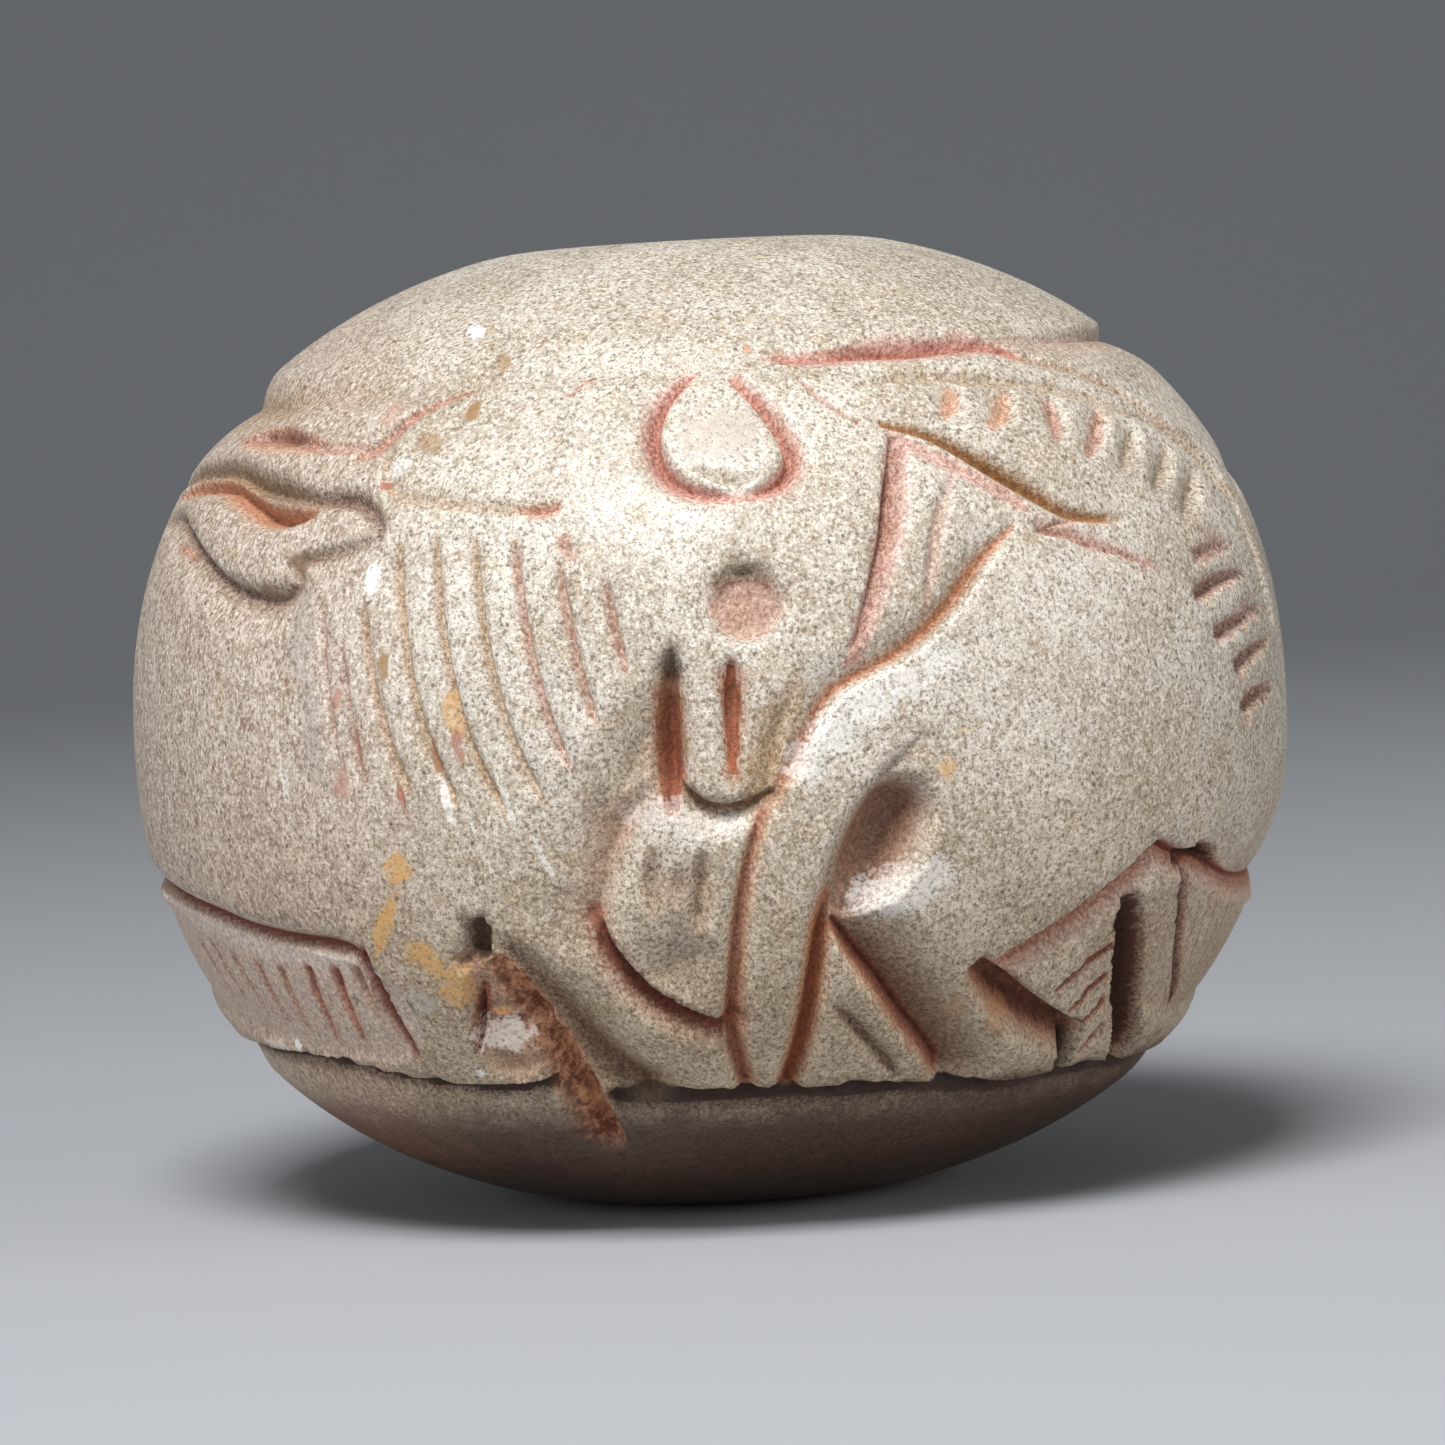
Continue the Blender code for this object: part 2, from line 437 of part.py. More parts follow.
carved = np.array(flat_points)
seam_levels = carved[np.abs(carved[:, 0]) == SKIN_HALF][:, 1]
for level in seam_levels:
    flat_points.extend(np.array((side, level)) for side in (-SKIN_HALF, SKIN_HALF))
rows = round(SKIN_LENGTH / PLAIN_STEP)
rim_columns = round(2 * math.pi * FLAT_RADIUS / PLAIN_STEP) * RIM_FINENESS
for row in range(rows + 1):
    level = SKIN_LENGTH * row / rows
    girth = 2 * math.pi * np.interp(level, PROFILE_LENGTHS, PROFILE_RADII)
    edge = row in (0, rows)
    columns = rim_columns if edge else max(rim_columns, round(girth / PLAIN_STEP))
    shift = 0 if edge or row % 2 else 0.5
    across = (np.arange(columns) + shift) / columns * 2 - 1
    lattice = [(SKIN_HALF * x, level) for x in across if -1 < x < 1]
    stretch = np.array((girth / (2 * SKIN_HALF), 1))
    for spot in lattice:
        if edge or np.min(np.sum(((carved - spot) * stretch) ** 2, axis=1)) > CLEARANCE**2:
            flat_points.append(np.array(spot))
    if edge or np.min(np.abs(seam_levels - level)) > SEAM_CLEARANCE:
        flat_points.extend(np.array((side, level)) for side in (-SKIN_HALF, SKIN_HALF))

corners, _, faces, *_ = delaunay_2d_cdt([Vector(p) for p in flat_points], flat_lines, [], 0, WELD)
corners = np.array([tuple(corner) for corner in corners])
skin = rolled(corners)
normals = normals_at(skin)
depth = np.max([cut.fall(skin, normals) for cut in cuts], axis=0)
skin = skin - normals * depth[:, None]

mesh = bmesh.new()
verts = [mesh.verts.new(point) for point in skin]
for face in faces:
    mesh.faces.new([verts[index] for index in face])
bmesh.ops.remove_doubles(mesh, verts=mesh.verts, dist=SEAM_WELD)

# The flats round the bore's mouths, then the bore between them
mouths = []
for level in (0, HEIGHT):
    rim = [edge for edge in mesh.edges
           if edge.is_boundary and all(abs(vert.co.z - level) < WELD for vert in edge.verts)]
    inner = bmesh.ops.extrude_edge_only(mesh, edges=rim)["geom"]
    mouth_verts = [item for item in inner if isinstance(item, bmesh.types.BMVert)]
    bmesh.ops.scale(mesh, vec=(BORE_RADIUS / FLAT_RADIUS, BORE_RADIUS / FLAT_RADIUS, 1), verts=mouth_verts)
    mouths += [item for item in inner if isinstance(item, bmesh.types.BMEdge)]
bmesh.ops.bridge_loops(mesh, edges=mouths)
bmesh.ops.recalc_face_normals(mesh, faces=mesh.faces)

bead_mesh = bpy.data.meshes.new("bead")
mesh.to_mesh(bead_mesh)
mesh.free()
bead_mesh.shade_smooth()
bead_mesh.set_sharp_from_angle(angle=math.radians(CREASE))

stone = bpy.data.materials.new("carved stone")
stone.use_nodes = True
shader = stone.node_tree.nodes["Principled BSDF"]
shader.inputs["Base Color"].default_value = (0.46, 0.39, 0.30, 1)
shader.inputs["Roughness"].default_value = 0.5
shader.inputs["Metallic"].default_value = 0.0
bead_mesh.materials.append(stone)

bead = bpy.data.objects.new("bead", bead_mesh)
bpy.context.scene.collection.objects.link(bead)
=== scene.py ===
import math

import bmesh
import bpy
import numpy as np
from mathutils import Euler, Matrix, Vector, noise


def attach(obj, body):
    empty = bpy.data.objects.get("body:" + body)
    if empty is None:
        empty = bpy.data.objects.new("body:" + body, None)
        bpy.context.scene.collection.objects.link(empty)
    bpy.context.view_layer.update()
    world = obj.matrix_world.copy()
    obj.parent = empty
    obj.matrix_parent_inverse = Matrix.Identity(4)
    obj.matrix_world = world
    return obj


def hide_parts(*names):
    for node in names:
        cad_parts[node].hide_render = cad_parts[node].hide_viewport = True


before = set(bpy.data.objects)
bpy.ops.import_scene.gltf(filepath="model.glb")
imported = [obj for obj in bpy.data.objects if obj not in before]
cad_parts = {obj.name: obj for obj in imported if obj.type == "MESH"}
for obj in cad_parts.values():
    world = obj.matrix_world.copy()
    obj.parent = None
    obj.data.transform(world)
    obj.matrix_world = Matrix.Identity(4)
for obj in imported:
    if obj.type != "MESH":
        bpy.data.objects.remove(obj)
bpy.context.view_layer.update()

# The blank. A pebble of fine-grained cream-grey stone, ground to a full flattened ball, with a worn
# flat round each mouth of the bore that was drilled from top to foot. It is spun from its half profile.
WIDTH = 0.02996
HEIGHT = 0.0246
FULLNESS = 2.26
FLAT_RADIUS = 0.0043
BORE_RADIUS = 0.0019
FLAT_WEAR = 0.00024
RADIUS = WIDTH / 2
MIDDLE = HEIGHT / 2
REACH = MIDDLE / (1 - (FLAT_RADIUS / RADIUS) ** FULLNESS) ** (1 / FULLNESS)
ROWS = 112
COLUMNS = 250
BORE_ROWS = 12
MM = 0.001


def radius_at(rise):
    """The blank's radius at a distance above or below its middle."""
    return RADIUS * (1 - (np.abs(rise) / REACH) ** FULLNESS) ** (1 / FULLNESS)


def on_blank(azimuth, share):
    """Skin points from the azimuth, 0 at the front and growing to the right, and per cent of height."""
    height = np.asarray(share) / 100 * HEIGHT
    radius = radius_at(height - MIDDLE)
    turn = np.radians(azimuth)
    return np.stack((radius * np.sin(turn), -radius * np.cos(turn), height), -1)


def normals_at(points):
    """The blank's outward normals at points on its skin."""
    radius = np.maximum(np.hypot(points[:, 0], points[:, 1]), 1e-9)
    rise = (points[:, 2] - MIDDLE) / REACH
    outward = (radius / RADIUS) ** (FULLNESS - 1) / RADIUS
    upward = np.sign(rise) * np.abs(rise) ** (FULLNESS - 1) / REACH
    normals = np.column_stack((points[:, :2] / radius[:, None] * outward[:, None], upward))
    return normals / np.linalg.norm(normals, axis=1)[:, None]


rises = np.linspace(0, REACH, 4000)
radii = radius_at(rises)
worn = np.minimum(rises, MIDDLE) - np.maximum(FLAT_WEAR - np.abs(rises - MIDDLE), 0) ** 2 / (4 * FLAT_WEAR)
outside = radii >= BORE_RADIUS
walked = np.append(0, np.cumsum(np.hypot(np.diff(worn[outside]), np.diff(radii[outside]))))
stops = np.linspace(0, walked[-1], ROWS // 2)
upper = np.column_stack((np.interp(stops, walked, radii[outside]), np.interp(stops, walked, worn[outside])))
lower = upper[:0:-1] * (1, -1)
bead = bmesh.new()
half = [bead.verts.new((0, r, MIDDLE + rise)) for r, rise in np.vstack((lower, upper))]
bore = np.linspace(half[-1].co.z, half[0].co.z, BORE_ROWS)[1:-1]
half += [bead.verts.new((0, upper[-1, 0], z)) for z in bore]
loop = [bead.edges.new((a, b)) for a, b in zip(half, half[1:] + half[:1])]
bmesh.ops.spin(bead, geom=half + loop, cent=(0, 0, 0), axis=(0, 0, 1), angle=2 * math.pi, steps=COLUMNS,
               use_merge=True)
bmesh.ops.remove_doubles(bead, verts=bead.verts, dist=1e-7)

# The carving. Drilled, ground and scratched by hand with stone dust, then rubbed with red earth, which
# is still in the cuts. Each cut is a curve on the skin; its depth falls off towards both hands of
# someone who walks along it on the outside, and the deepest cut counts where two meet.
PINK = (0.52, 0.235, 0.185)
RED = (0.32, 0.085, 0.045)
BROWN = (0.10, 0.032, 0.016)
# The olive below is painted shade, laid on the walls and slopes of cuts where shade falls.
OLIVE_SHADE = (0.23, 0.165, 0.095)
OCHRE = (0.30, 0.165, 0.06)
ORANGE = (0.56, 0.24, 0.12)
RUST = (0.26, 0.065, 0.028)
# The near-black below is painted shadow, for the deepest undercuts.
PAINTED_SHADOW = (0.030, 0.012, 0.007)
SKIN = (0.50, 0.36, 0.28)
STRIDE = 0.00025
PER_KNOT = 24
END_TAPER = 0.7
SLIT_LEFT, SLIT_RIGHT = 0.13, 0.16
cuts = []


def along(values, count, steps):
    """A smooth curve through the rows of values, in that many steps."""
    knots = np.array(values, float).reshape(count, -1)
    padded = np.vstack((2 * knots[0] - knots[1], knots, 2 * knots[-1] - knots[-2]))
    place = np.linspace(0, count - 1, steps)
    first = np.minimum(place.astype(int), count - 2)
    t = (place - first)[:, None]
    a, b, c, d = (padded[first + shift] for shift in range(4))
    return b + t / 2 * (c - a + t * (2 * a - 5 * b + 4 * c - d + t * (3 * (b - c) + d - a)))


def cut(knots, depth, left, right, swell=None, floor=0, tint=RED, rim=None, dose=0.8, stained=0.6,
        curve=1.7, broken=0, slit=0):
    """A cut through knots of azimuth and height share; its depth, and its walls at the left and the right,
    are in millimetres, and swell is its depth's share at each knot. The floor is the flat share of its width,
    and the curve is the walls' power. Its colour, which is red ochre and at places painted shade, goes from
    the tint at the bottom to the rim's, up the coloured share of the wall. A slit is a dark line along the
    bottom, that much deeper."""
    count = len(knots)
    dense = (count - 1) * PER_KNOT + 1
    places = along(knots, count, dense)
    line = on_blank(places[:, 0], places[:, 1])
    walked = np.append(0, np.cumsum(np.linalg.norm(np.diff(line, axis=0), axis=1)))
    stops = np.linspace(0, walked[-1], max(3, round(walked[-1] / STRIDE) + 1))
    points = on_blank(np.interp(stops, walked, places[:, 0]), np.interp(stops, walked, places[:, 1]))
    if swell is not None:
        share = np.interp(stops, walked, np.clip(along(swell, count, dense)[:, 0], 0, None))
    else:
        share = np.clip(np.minimum(stops, stops[-1] - stops) / min(END_TAPER * MM, stops[-1] / 2), 0, 1)
    tint = np.array(tint)
    rim = 0.75 * tint + 0.25 * np.array(SKIN) if rim is None else np.array(rim)
    # A wall of a high power runs out shallow, so it reaches further.
    reach = (0.7 + 0.4 * curve) * MM * np.sqrt(share)
    cuts.append(dict(points=points, depth=depth * MM * share, left=left * reach, right=right * reach,
                     floor=floor, curve=curve, tint=tint, rim=rim, dose=dose, stained=stained,
                     broken=broken))
    if slit:
        cut(knots, depth + slit, min(left, SLIT_LEFT), min(right, SLIT_RIGHT), swell=swell, tint=tint * 0.4,
            rim=tint, dose=1, stained=1, curve=1)


def falls(one, points, normals, slack=0.0):
    """Which points a cut reaches, how far each lies from its bottom, in metres and in shares of the wall,
    and the cut's depth there."""
    line = one["points"]
    reach = max(one["left"].max(), one["right"].max()) + slack
    near = np.where(np.all((points > line.min(0) - reach) & (points < line.max(0) + reach), axis=1))[0]
    if not len(near):
        return near, np.zeros(0), np.zeros(0), np.zeros(0)
    best = np.full(len(near), 1e9)
    spot = np.zeros(len(near), int)
    part = np.zeros(len(near))
    away = np.zeros((len(near), 3))
    here = points[near]
    for step in range(len(line) - 1):
        run = line[step + 1] - line[step]
        offset = here - line[step]
        share = np.clip(offset @ run / (run @ run), 0, 1)
        offset = offset - share[:, None] * run
        gap = np.einsum("ij,ij->i", offset, offset)
        closer = gap < best
        best[closer], spot[closer] = gap[closer], step
        part[closer], away[closer] = share[closer], offset[closer]
    gap = np.sqrt(best)

    def read(values):
        return values[spot] + part * (values[spot + 1] - values[spot])

    right_hand = np.cross(line[spot + 1] - line[spot], normals[near])
    right_hand /= np.linalg.norm(right_hand, axis=1)[:, None]
    lean = np.sum(right_hand * away, axis=1) / np.maximum(gap, 1e-9)
    left, right = read(one["left"]), read(one["right"])
    width = np.maximum((left + right + (right - left) * lean) / 2, 1e-9)
    return near, gap, gap / width, read(one["depth"])


def pit(azimuth, share, radius, depth, floor, **looks):
    """A round pit, as a drill leaves it: a cut of next to no length."""
    cut([(azimuth, share - 0.01), (azimuth, share + 0.01)], depth, radius, radius, swell=(1, 1),
        floor=floor, curve=0.75, **looks)


# The borders: a soft step round under the upper cap with a red line at the front, and the foot line.
cut([(-180, 87), (-130, 86.6), (-88, 86.2), (-65, 85.9), (-55, 86.5), (-45, 86.6), (-38, 86.2)],
    0.42, 0.75, 1.70, swell=(0.6, 0.7, 1.1, 1, 0.6, 0.4, 0.2), tint=OCHRE, dose=0.3)
# A soft step under the cap, faintly olive as painted shade.
cut([(-60, 86.2), (-46, 86.5), (-36, 86), (-27, 86.6), (-11, 86.8), (-1, 86.3), (7, 87)],
    0.20, 0.90, 0.90, swell=(0.5, 1, 1, 0.8, 0.7, 0.7, 0.3), tint=OLIVE_SHADE, dose=0.25)
cut([(9, 87.5), (13, 87.4), (18.2, 87.5), (22, 88), (28.6, 88.1), (36, 88.2), (41.5, 87.8), (45.5, 86.1)],
    0.48, 0.14, 0.55, swell=(0.1, 0.5, 0.7, 1.1, 1.3, 1.1, 0.8, 0.3), tint=(0.38, 0.10, 0.07),
    rim=(0.50, 0.26, 0.21), dose=0.9, stained=1)
cut([(43, 87.2), (48, 85.6), (53.5, 84.4), (59.1, 82.2), (64, 79), (70, 75.5), (76, 70)], 0.16, 0.13, 0.34,
    swell=(0.6, 1, 1, 1, 0.9, 0.7, 0.2), tint=OCHRE, rim=PINK, dose=0.5)
cut([(42, 88.2), (55, 88), (72, 88.4), (90, 88.4), (130, 87.2), (180, 87)], 0.36, 0.20, 1.20,
    swell=(0.2, 0.7, 1, 1.1, 1, 1), tint=RED, rim=PINK, dose=0.3)
# The foot line's near-black is painted shadow in its undercut.
FOOT = dict(tint=PAINTED_SHADOW, rim=(0.05, 0.018, 0.01), dose=1, curve=1.4)
cut([(-180, 17.5), (-110, 19), (-80, 19.2), (-68.7, 18.9), (-59.3, 18.8), (-49, 18.2), (-41.6, 17.1),
     (-34.7, 16.4), (-27.5, 16), (-21.9, 16.6), (-18.7, 17.2)], 0.52, 0.14, 1.15,
    swell=(0.7, 0.7, 0.7, 0.8, 1, 0.9, 0.85, 0.8, 0.8, 0.8, 0.7), stained=0.48, **FOOT)
cut([(-13.5, 15), (0, 14.9), (12, 14.5), (24, 14.1), (36, 13.1), (53, 13.3), (75, 13), (110, 16),
     (180, 17.5)], 0.52, 0.14, 1.05, swell=(0.8, 0.9, 0.9, 1, 1.1, 1, 0.7, 0.7, 0.7), stained=0.72, **FOOT)

# The beast at the left: nostril, brow line, open jaws, lip, and the ribs down its neck.
cut([(-66.4, 82.4), (-61, 82.8), (-56.4, 82.7), (-51.5, 82), (-46.7, 81.2), (-42, 80.9), (-37.7, 80.7)],
    0.55, 0.22, 0.60, swell=(0.3, 0.9, 1.1, 0.6, 0.25, 0.2, 0.2), tint=(0.27, 0.07, 0.04), rim=ORANGE,
    dose=0.85, stained=0.9)
cut([(-40, 79.9), (-38, 80.9), (-36.6, 82.4), (-34.3, 84.2), (-31, 85.2), (-27, 85.9)], 0.28, 0.16, 0.60,
    swell=(0.4, 1, 1, 0.9, 0.6, 0.2), tint=(0.36, 0.10, 0.06), rim=OLIVE_SHADE, dose=0.8, stained=0.6)
cut([(-84, 75.4), (-76.8, 77.2), (-66.1, 77.8), (-58.6, 76.4), (-53.5, 75), (-48.8, 74.4), (-44, 74.7)],
    0.92, 0.45, 0.44, swell=(0.05, 0.5, 0.8, 0.95, 1, 0.9, 0.4), tint=(0.52, 0.20, 0.10),
    rim=(0.42, 0.22, 0.12), dose=0.85, stained=0.8)
# The upper jaw's underside over the mouth, dark olive-brown as painted shade.
cut([(-92, 76.6), (-80, 78.6), (-66, 79.2), (-58, 78), (-50.5, 76.9), (-43, 75.8)], 0.66, 0.42, 0.50,
    swell=(0.1, 0.5, 0.8, 1, 0.9, 0.3), tint=(0.20, 0.12, 0.06), rim=OLIVE_SHADE, dose=0.9, stained=0.8)
cut([(-52, 76.6), (-44.6, 75.8), (-39.7, 75.7), (-36.5, 74.8), (-34.2, 72.9), (-33.6, 71)], 0.42, 0.38,
    0.30, swell=(0.6, 1, 1.1, 1, 0.6, 0.1), tint=BROWN, rim=OLIVE_SHADE, dose=0.85, stained=0.8)
cut([(-84, 73.6), (-76.6, 74.5), (-69.5, 72.9), (-62.4, 70.5), (-56.8, 68.4), (-51.3, 67), (-46.5, 66.6),
     (-44.2, 67.9), (-44.6, 69.6), (-41.4, 70.5), (-37, 71.2), (-33.4, 72.6)], 0.46, 0.22, 1.00,
    swell=(0.05, 0.7, 0.9, 0.9, 1, 1.1, 1.1, 0.8, 0.6, 0.6, 0.4, 0.1), tint=BROWN, rim=OLIVE_SHADE, dose=0.7,
    stained=0.4)
cut([(-72, 71.6), (-67.6, 71), (-64, 70)], 0.30, 0.30, 0.30, tint=RED)
cut([(-35.9, 79.3), (-34.6, 77.2), (-32.5, 75.6), (-25.9, 74.5), (-17, 73.6)], 0.18, 0.50, 0.20,
    swell=(0.6, 1, 0.9, 0.8, 0.6), tint=OCHRE, rim=OLIVE_SHADE, dose=0.6)
cut([(-19, 74.1), (-16, 73.7), (-13.4, 73.9)], 0.20, 0.16, 0.22, tint=RED, rim=ORANGE, dose=0.9, stained=1)


def rib(azimuth, top, end, left=0.34, right=0.14, **looks):
    """A rib from a top to an end share, which slants and bends to the right on its way down."""
    shares = np.linspace(end, top, 5)
    drops = 72 - shares
    knots = list(zip(azimuth + 0.17 * drops + 2.6 * (drops / 27) ** 4, shares))
    cut(knots, 0.24, left, right, curve=1.6, stained=0.5, **looks)


RIBS = ((66, 46), (71.5, 45), (72, 44), (72, 45), (71.5, 48), (69, 52), (67, 57))
for number, (top, end) in enumerate(RIBS):
    rib(-35.5 + 4.25 * number, top, end, tint=OCHRE if number < 4 else (0.34, 0.14, 0.09), dose=0.75)
for knots in (((-39.5, 66), (-38.5, 58), (-37, 50)), ((-34.2, 66), (-33.4, 60), (-32.6, 54)),
              ((-31.8, 56), (-31, 50), (-29.8, 44)), ((-36.8, 62), (-35.6, 55), (-34.4, 47))):
    cut(knots, 0.12, 0.14, 0.12, tint=(0.24, 0.09, 0.05), dose=0.55)
cut([(-13.9, 71.4), (-13, 69.9), (-12.3, 68.4)], 0.16, 0.16, 0.20, tint=RED, rim=PINK, dose=0.7, stained=1)
cut([(-11.2, 86.7), (-13.2, 85.8), (-14.8, 84.2)], 0.16, 0.12, 0.14, tint=RED, dose=0.7)
# A short slope, olive as painted shade.
cut([(-14.5, 84.6), (-15, 81), (-15.4, 77)], 0.08, 0.20, 0.30, tint=OLIVE_SHADE, dose=0.3)

# The head at the front: ringed boss, drilled eye, slits, muzzle, cheek folds and ear.
RING = np.array(((0.2, 86), (-2.6, 83.9), (-4, 81.5), (-4, 79.1), (-2.7, 76.7), (0, 75), (4.4, 74),
                 (7.4, 75), (9.3, 76.6), (9.6, 78.8), (7.6, 82.4), (4.8, 85.3)))
BOSS = np.array((2.8, 80.4))
cut(RING, 0.46, 0.16, 0.46, swell=(0.3, 0.8, 1.1, 1.1, 1.2, 0.9, 0.25, 0.8, 1.2, 1.1, 0.8, 0.4),
    tint=(0.42, 0.10, 0.065), rim=(0.66, 0.44, 0.38), dose=0.85, stained=1, curve=1)
for spread, depth, tint, strength in ((1.06, 0.50, (0.62, 0.35, 0.29), 0.5),
                                      (1.12, 0.36, (0.34, 0.06, 0.04), 0.9),
                                      (1.20, 0.20, (0.40, 0.10, 0.07), 0.7)):
    cut(BOSS + (RING - BOSS) * spread, depth, 0.05, 0.06,
        swell=(0.2, 0.6, 1, 1, 1.1, 0.6, 0.05, 0.5, 1.1, 1, 0.8, 0.3), tint=tint, dose=strength, curve=1)
# The boss's lower bevel, olive as painted shade.
cut([(-0.6, 77.2), (1.5, 75.9), (4.2, 75.4), (6.8, 76.2)], 0.14, 0.30, 0.10, tint=OLIVE_SHADE, dose=0.5,
    stained=1)
pit(3.9, 63.6, 0.92, 0.48, 0.80, tint=PINK, dose=0.5, stained=1)
# The drilled eye's upper wall, olive as painted shade.
cut([(0.9, 65.6), (2.4, 66.8), (5.4, 66.8), (6.9, 65.6)], 0.50, 0.20, 0.22, tint=OLIVE_SHADE, rim=OLIVE_SHADE, dose=0.8,
    stained=1)
for share in (62.5, 63.7, 64.5, 65.2):
    cut([(1.3, share), (3.9, share + 0.3), (6.5, share + 0.2)], 0.53, 0.06, 0.07, tint=(0.36, 0.11, 0.07),
        dose=0.7)
cut([(-3.7, 44.6), (-3.6, 48), (-3.5, 52), (-3.3, 56), (-3.2, 58.6)], 1.00, 0.78, 0.40,
    swell=(0.35, 1, 0.95, 0.6, 0.05), tint=(0.20, 0.045, 0.018), rim=(0.42, 0.15, 0.06), dose=0.95,
    stained=0.95, curve=1)
# The slit's deep upper end, dark olive-brown as painted shade.
cut([(-3.5, 53.8), (-3.3, 57), (-3.2, 60)], 0.74, 0.46, 0.34, swell=(0.2, 1, 0.15),
    tint=(0.11, 0.07, 0.035), rim=OLIVE_SHADE, dose=0.9, stained=1, curve=1)
cut([(1.9, 46.6), (1.95, 50), (2.1, 54), (2.2, 57.6)], 0.50, 0.30, 0.26, swell=(0.15, 0.6, 1, 0.5),
    floor=0.35, tint=(0.27, 0.075, 0.030), rim=(0.40, 0.16, 0.08), dose=0.95, stained=1, curve=1.1)
cut([(2.05, 52), (2.2, 57.2)], 0.58, 0.18, 0.16, tint=BROWN, rim=OLIVE_SHADE)
cut([(-3.8, 47.6), (-2.2, 45.9), (-0.8, 44.6), (1, 44.1), (2.9, 44.5), (5, 45.4)], 0.62, 0.14, 0.75,
    swell=(0.7, 0.9, 1, 1, 0.9, 0.8), tint=(0.26, 0.11, 0.05), rim=OLIVE_SHADE, dose=0.75, stained=0.35)
# The broad hollow left of the slit, olive as painted shade.
cut([(-9.6, 44), (-7.4, 48.5), (-5.6, 52.3), (-4, 57)], 0.45, 1.10, 1.20, swell=(0.5, 1, 0.8, 0.1),
    tint=OLIVE_SHADE, dose=0.7, stained=1)
cut([(4.6, 45.4), (5.5, 49.1), (6.5, 52.3), (8.2, 55.4)], 0.40, 0.60, 0.60, swell=(0.8, 1, 0.8, 0.2),
    tint=OCHRE, dose=0.75, stained=1)
cut([(12.2, 85.2), (15.2, 82.6), (19.1, 79.6)], 0.12, 0.13, 0.12, tint=RED, dose=0.6)
cut([(13.1, 57.4), (14.7, 61.7), (16.4, 66), (18, 69.9), (19.3, 73.8), (21.3, 78.6)], 0.44, 0.13, 0.55,
    swell=(0.3, 0.6, 0.8, 1.1, 1.2, 0.8), tint=(0.34, 0.10, 0.065), rim=(0.60, 0.32, 0.27), dose=0.8,
    stained=0.9)
cut([(20.6, 60.4), (22.2, 65.2), (23.4, 69), (24.8, 72), (27, 75)], 0.26, 0.24, 0.34,
    swell=(0.4, 1, 1, 0.8, 0.2), tint=(0.42, 0.20, 0.14), dose=0.5)
cut([(20.8, 80.2), (25.3, 79.2), (28.4, 77.8), (31.7, 75.8), (34.7, 73.8), (37.1, 72.1), (39.7, 70.4),
     (43.7, 69.6), (47, 69.4)], 0.45, 0.36, 0.36, swell=(0.3, 0.6, 0.9, 1.2, 1.2, 1, 0.7, 0.4, 0.1),
    tint=(0.21, 0.085, 0.02), rim=(0.36, 0.19, 0.07), dose=0.95, stained=0.6)
cut([(21.6, 79), (23.4, 78.1), (26.5, 76.3), (29.7, 74.5), (32.9, 72.5), (34.9, 70.5)], 0.16, 0.20, 0.30,
    tint=PINK, dose=0.8, stained=0.8)
cut([(35.6, 68.9), (37.6, 69.5), (40.6, 69.7), (44, 69.2)], 0.22, 0.12, 0.20, swell=(1, 1, 0.7, 0.2),
    tint=RED, rim=(0.60, 0.34, 0.28), dose=0.75)
cut([(35.6, 68.8), (38.4, 68.2), (40.5, 67.2), (44.4, 66), (50.8, 63.8)], 0.28, 0.45, 0.13,
    swell=(1, 1, 0.8, 0.5, 0.1), tint=RED, rim=(0.60, 0.34, 0.28), dose=0.75, stained=0.7)

# The mane over the ear: its soft upper edge, the short strokes across it and the far edge.
cut([(19.6, 84.2), (27.2, 84.9), (35.4, 84.2), (44.6, 83.2), (51.2, 81.9), (58.4, 79.9), (63.3, 78.3),
     (68.2, 75.2), (70.6, 71.5)], 0.20, 0.20, 0.40, swell=(0.2, 0.8, 1, 1, 0.9, 0.8, 1, 1, 0.6),
    tint=(0.27, 0.17, 0.08), dose=0.6)
for near_end, far_end, tint in (((31.6, 82.8), (28.9, 80.6), ORANGE), ((38.6, 82), (34.4, 79.2), ORANGE),
                                ((44.9, 81.2), (42.6, 77.8), RED), ((52, 79.6), (45.9, 75.8), RED),
                                ((55.8, 77.4), (50.2, 74.2), OLIVE_SHADE), ((60.4, 75), (54.2, 71.8), OLIVE_SHADE),
                                ((64.4, 72.4), (57.8, 69), OLIVE_SHADE)):
    cut([near_end, np.mean((near_end, far_end), axis=0) + (0.6, 0), far_end], 0.36, 0.28, 0.78,
        swell=(0.7, 1, 0.3), tint=tint, dose=0.75, stained=0.45)
cut([(67.5, 78.2), (72.6, 74.3), (74, 69.5), (75.4, 64.8), (75.8, 59.8), (78, 56)], 0.22, 0.20, 0.50,
    tint=OCHRE, dose=0.35)

# The limb that sweeps down the front, and the thumb-shaped hollow at its right.
cut([(1.6, 15.4), (0.3, 21), (0.8, 27), (1.7, 34), (2.8, 39), (4.6, 44), (7.8, 48.3)], 0.48, 0.26, 0.44,
    swell=(1.1, 1.2, 1.1, 0.9, 0.7, 0.6, 0.6), tint=(0.33, 0.095, 0.040), rim=(0.54, 0.30, 0.17), dose=0.9,
    stained=0.66)
cut([(6.4, 46.6), (7.8, 48.3), (10.1, 52.6), (12.1, 54.9), (18.3, 57.9), (23.3, 61.5), (28.1, 66.2),
     (32.4, 69.4)], 0.50, 0.90, 0.22, swell=(0.7, 0.9, 0.9, 0.8, 0.9, 1, 0.9, 0.2), tint=(0.42, 0.14, 0.05),
    rim=OLIVE_SHADE, dose=0.9, stained=0.36)
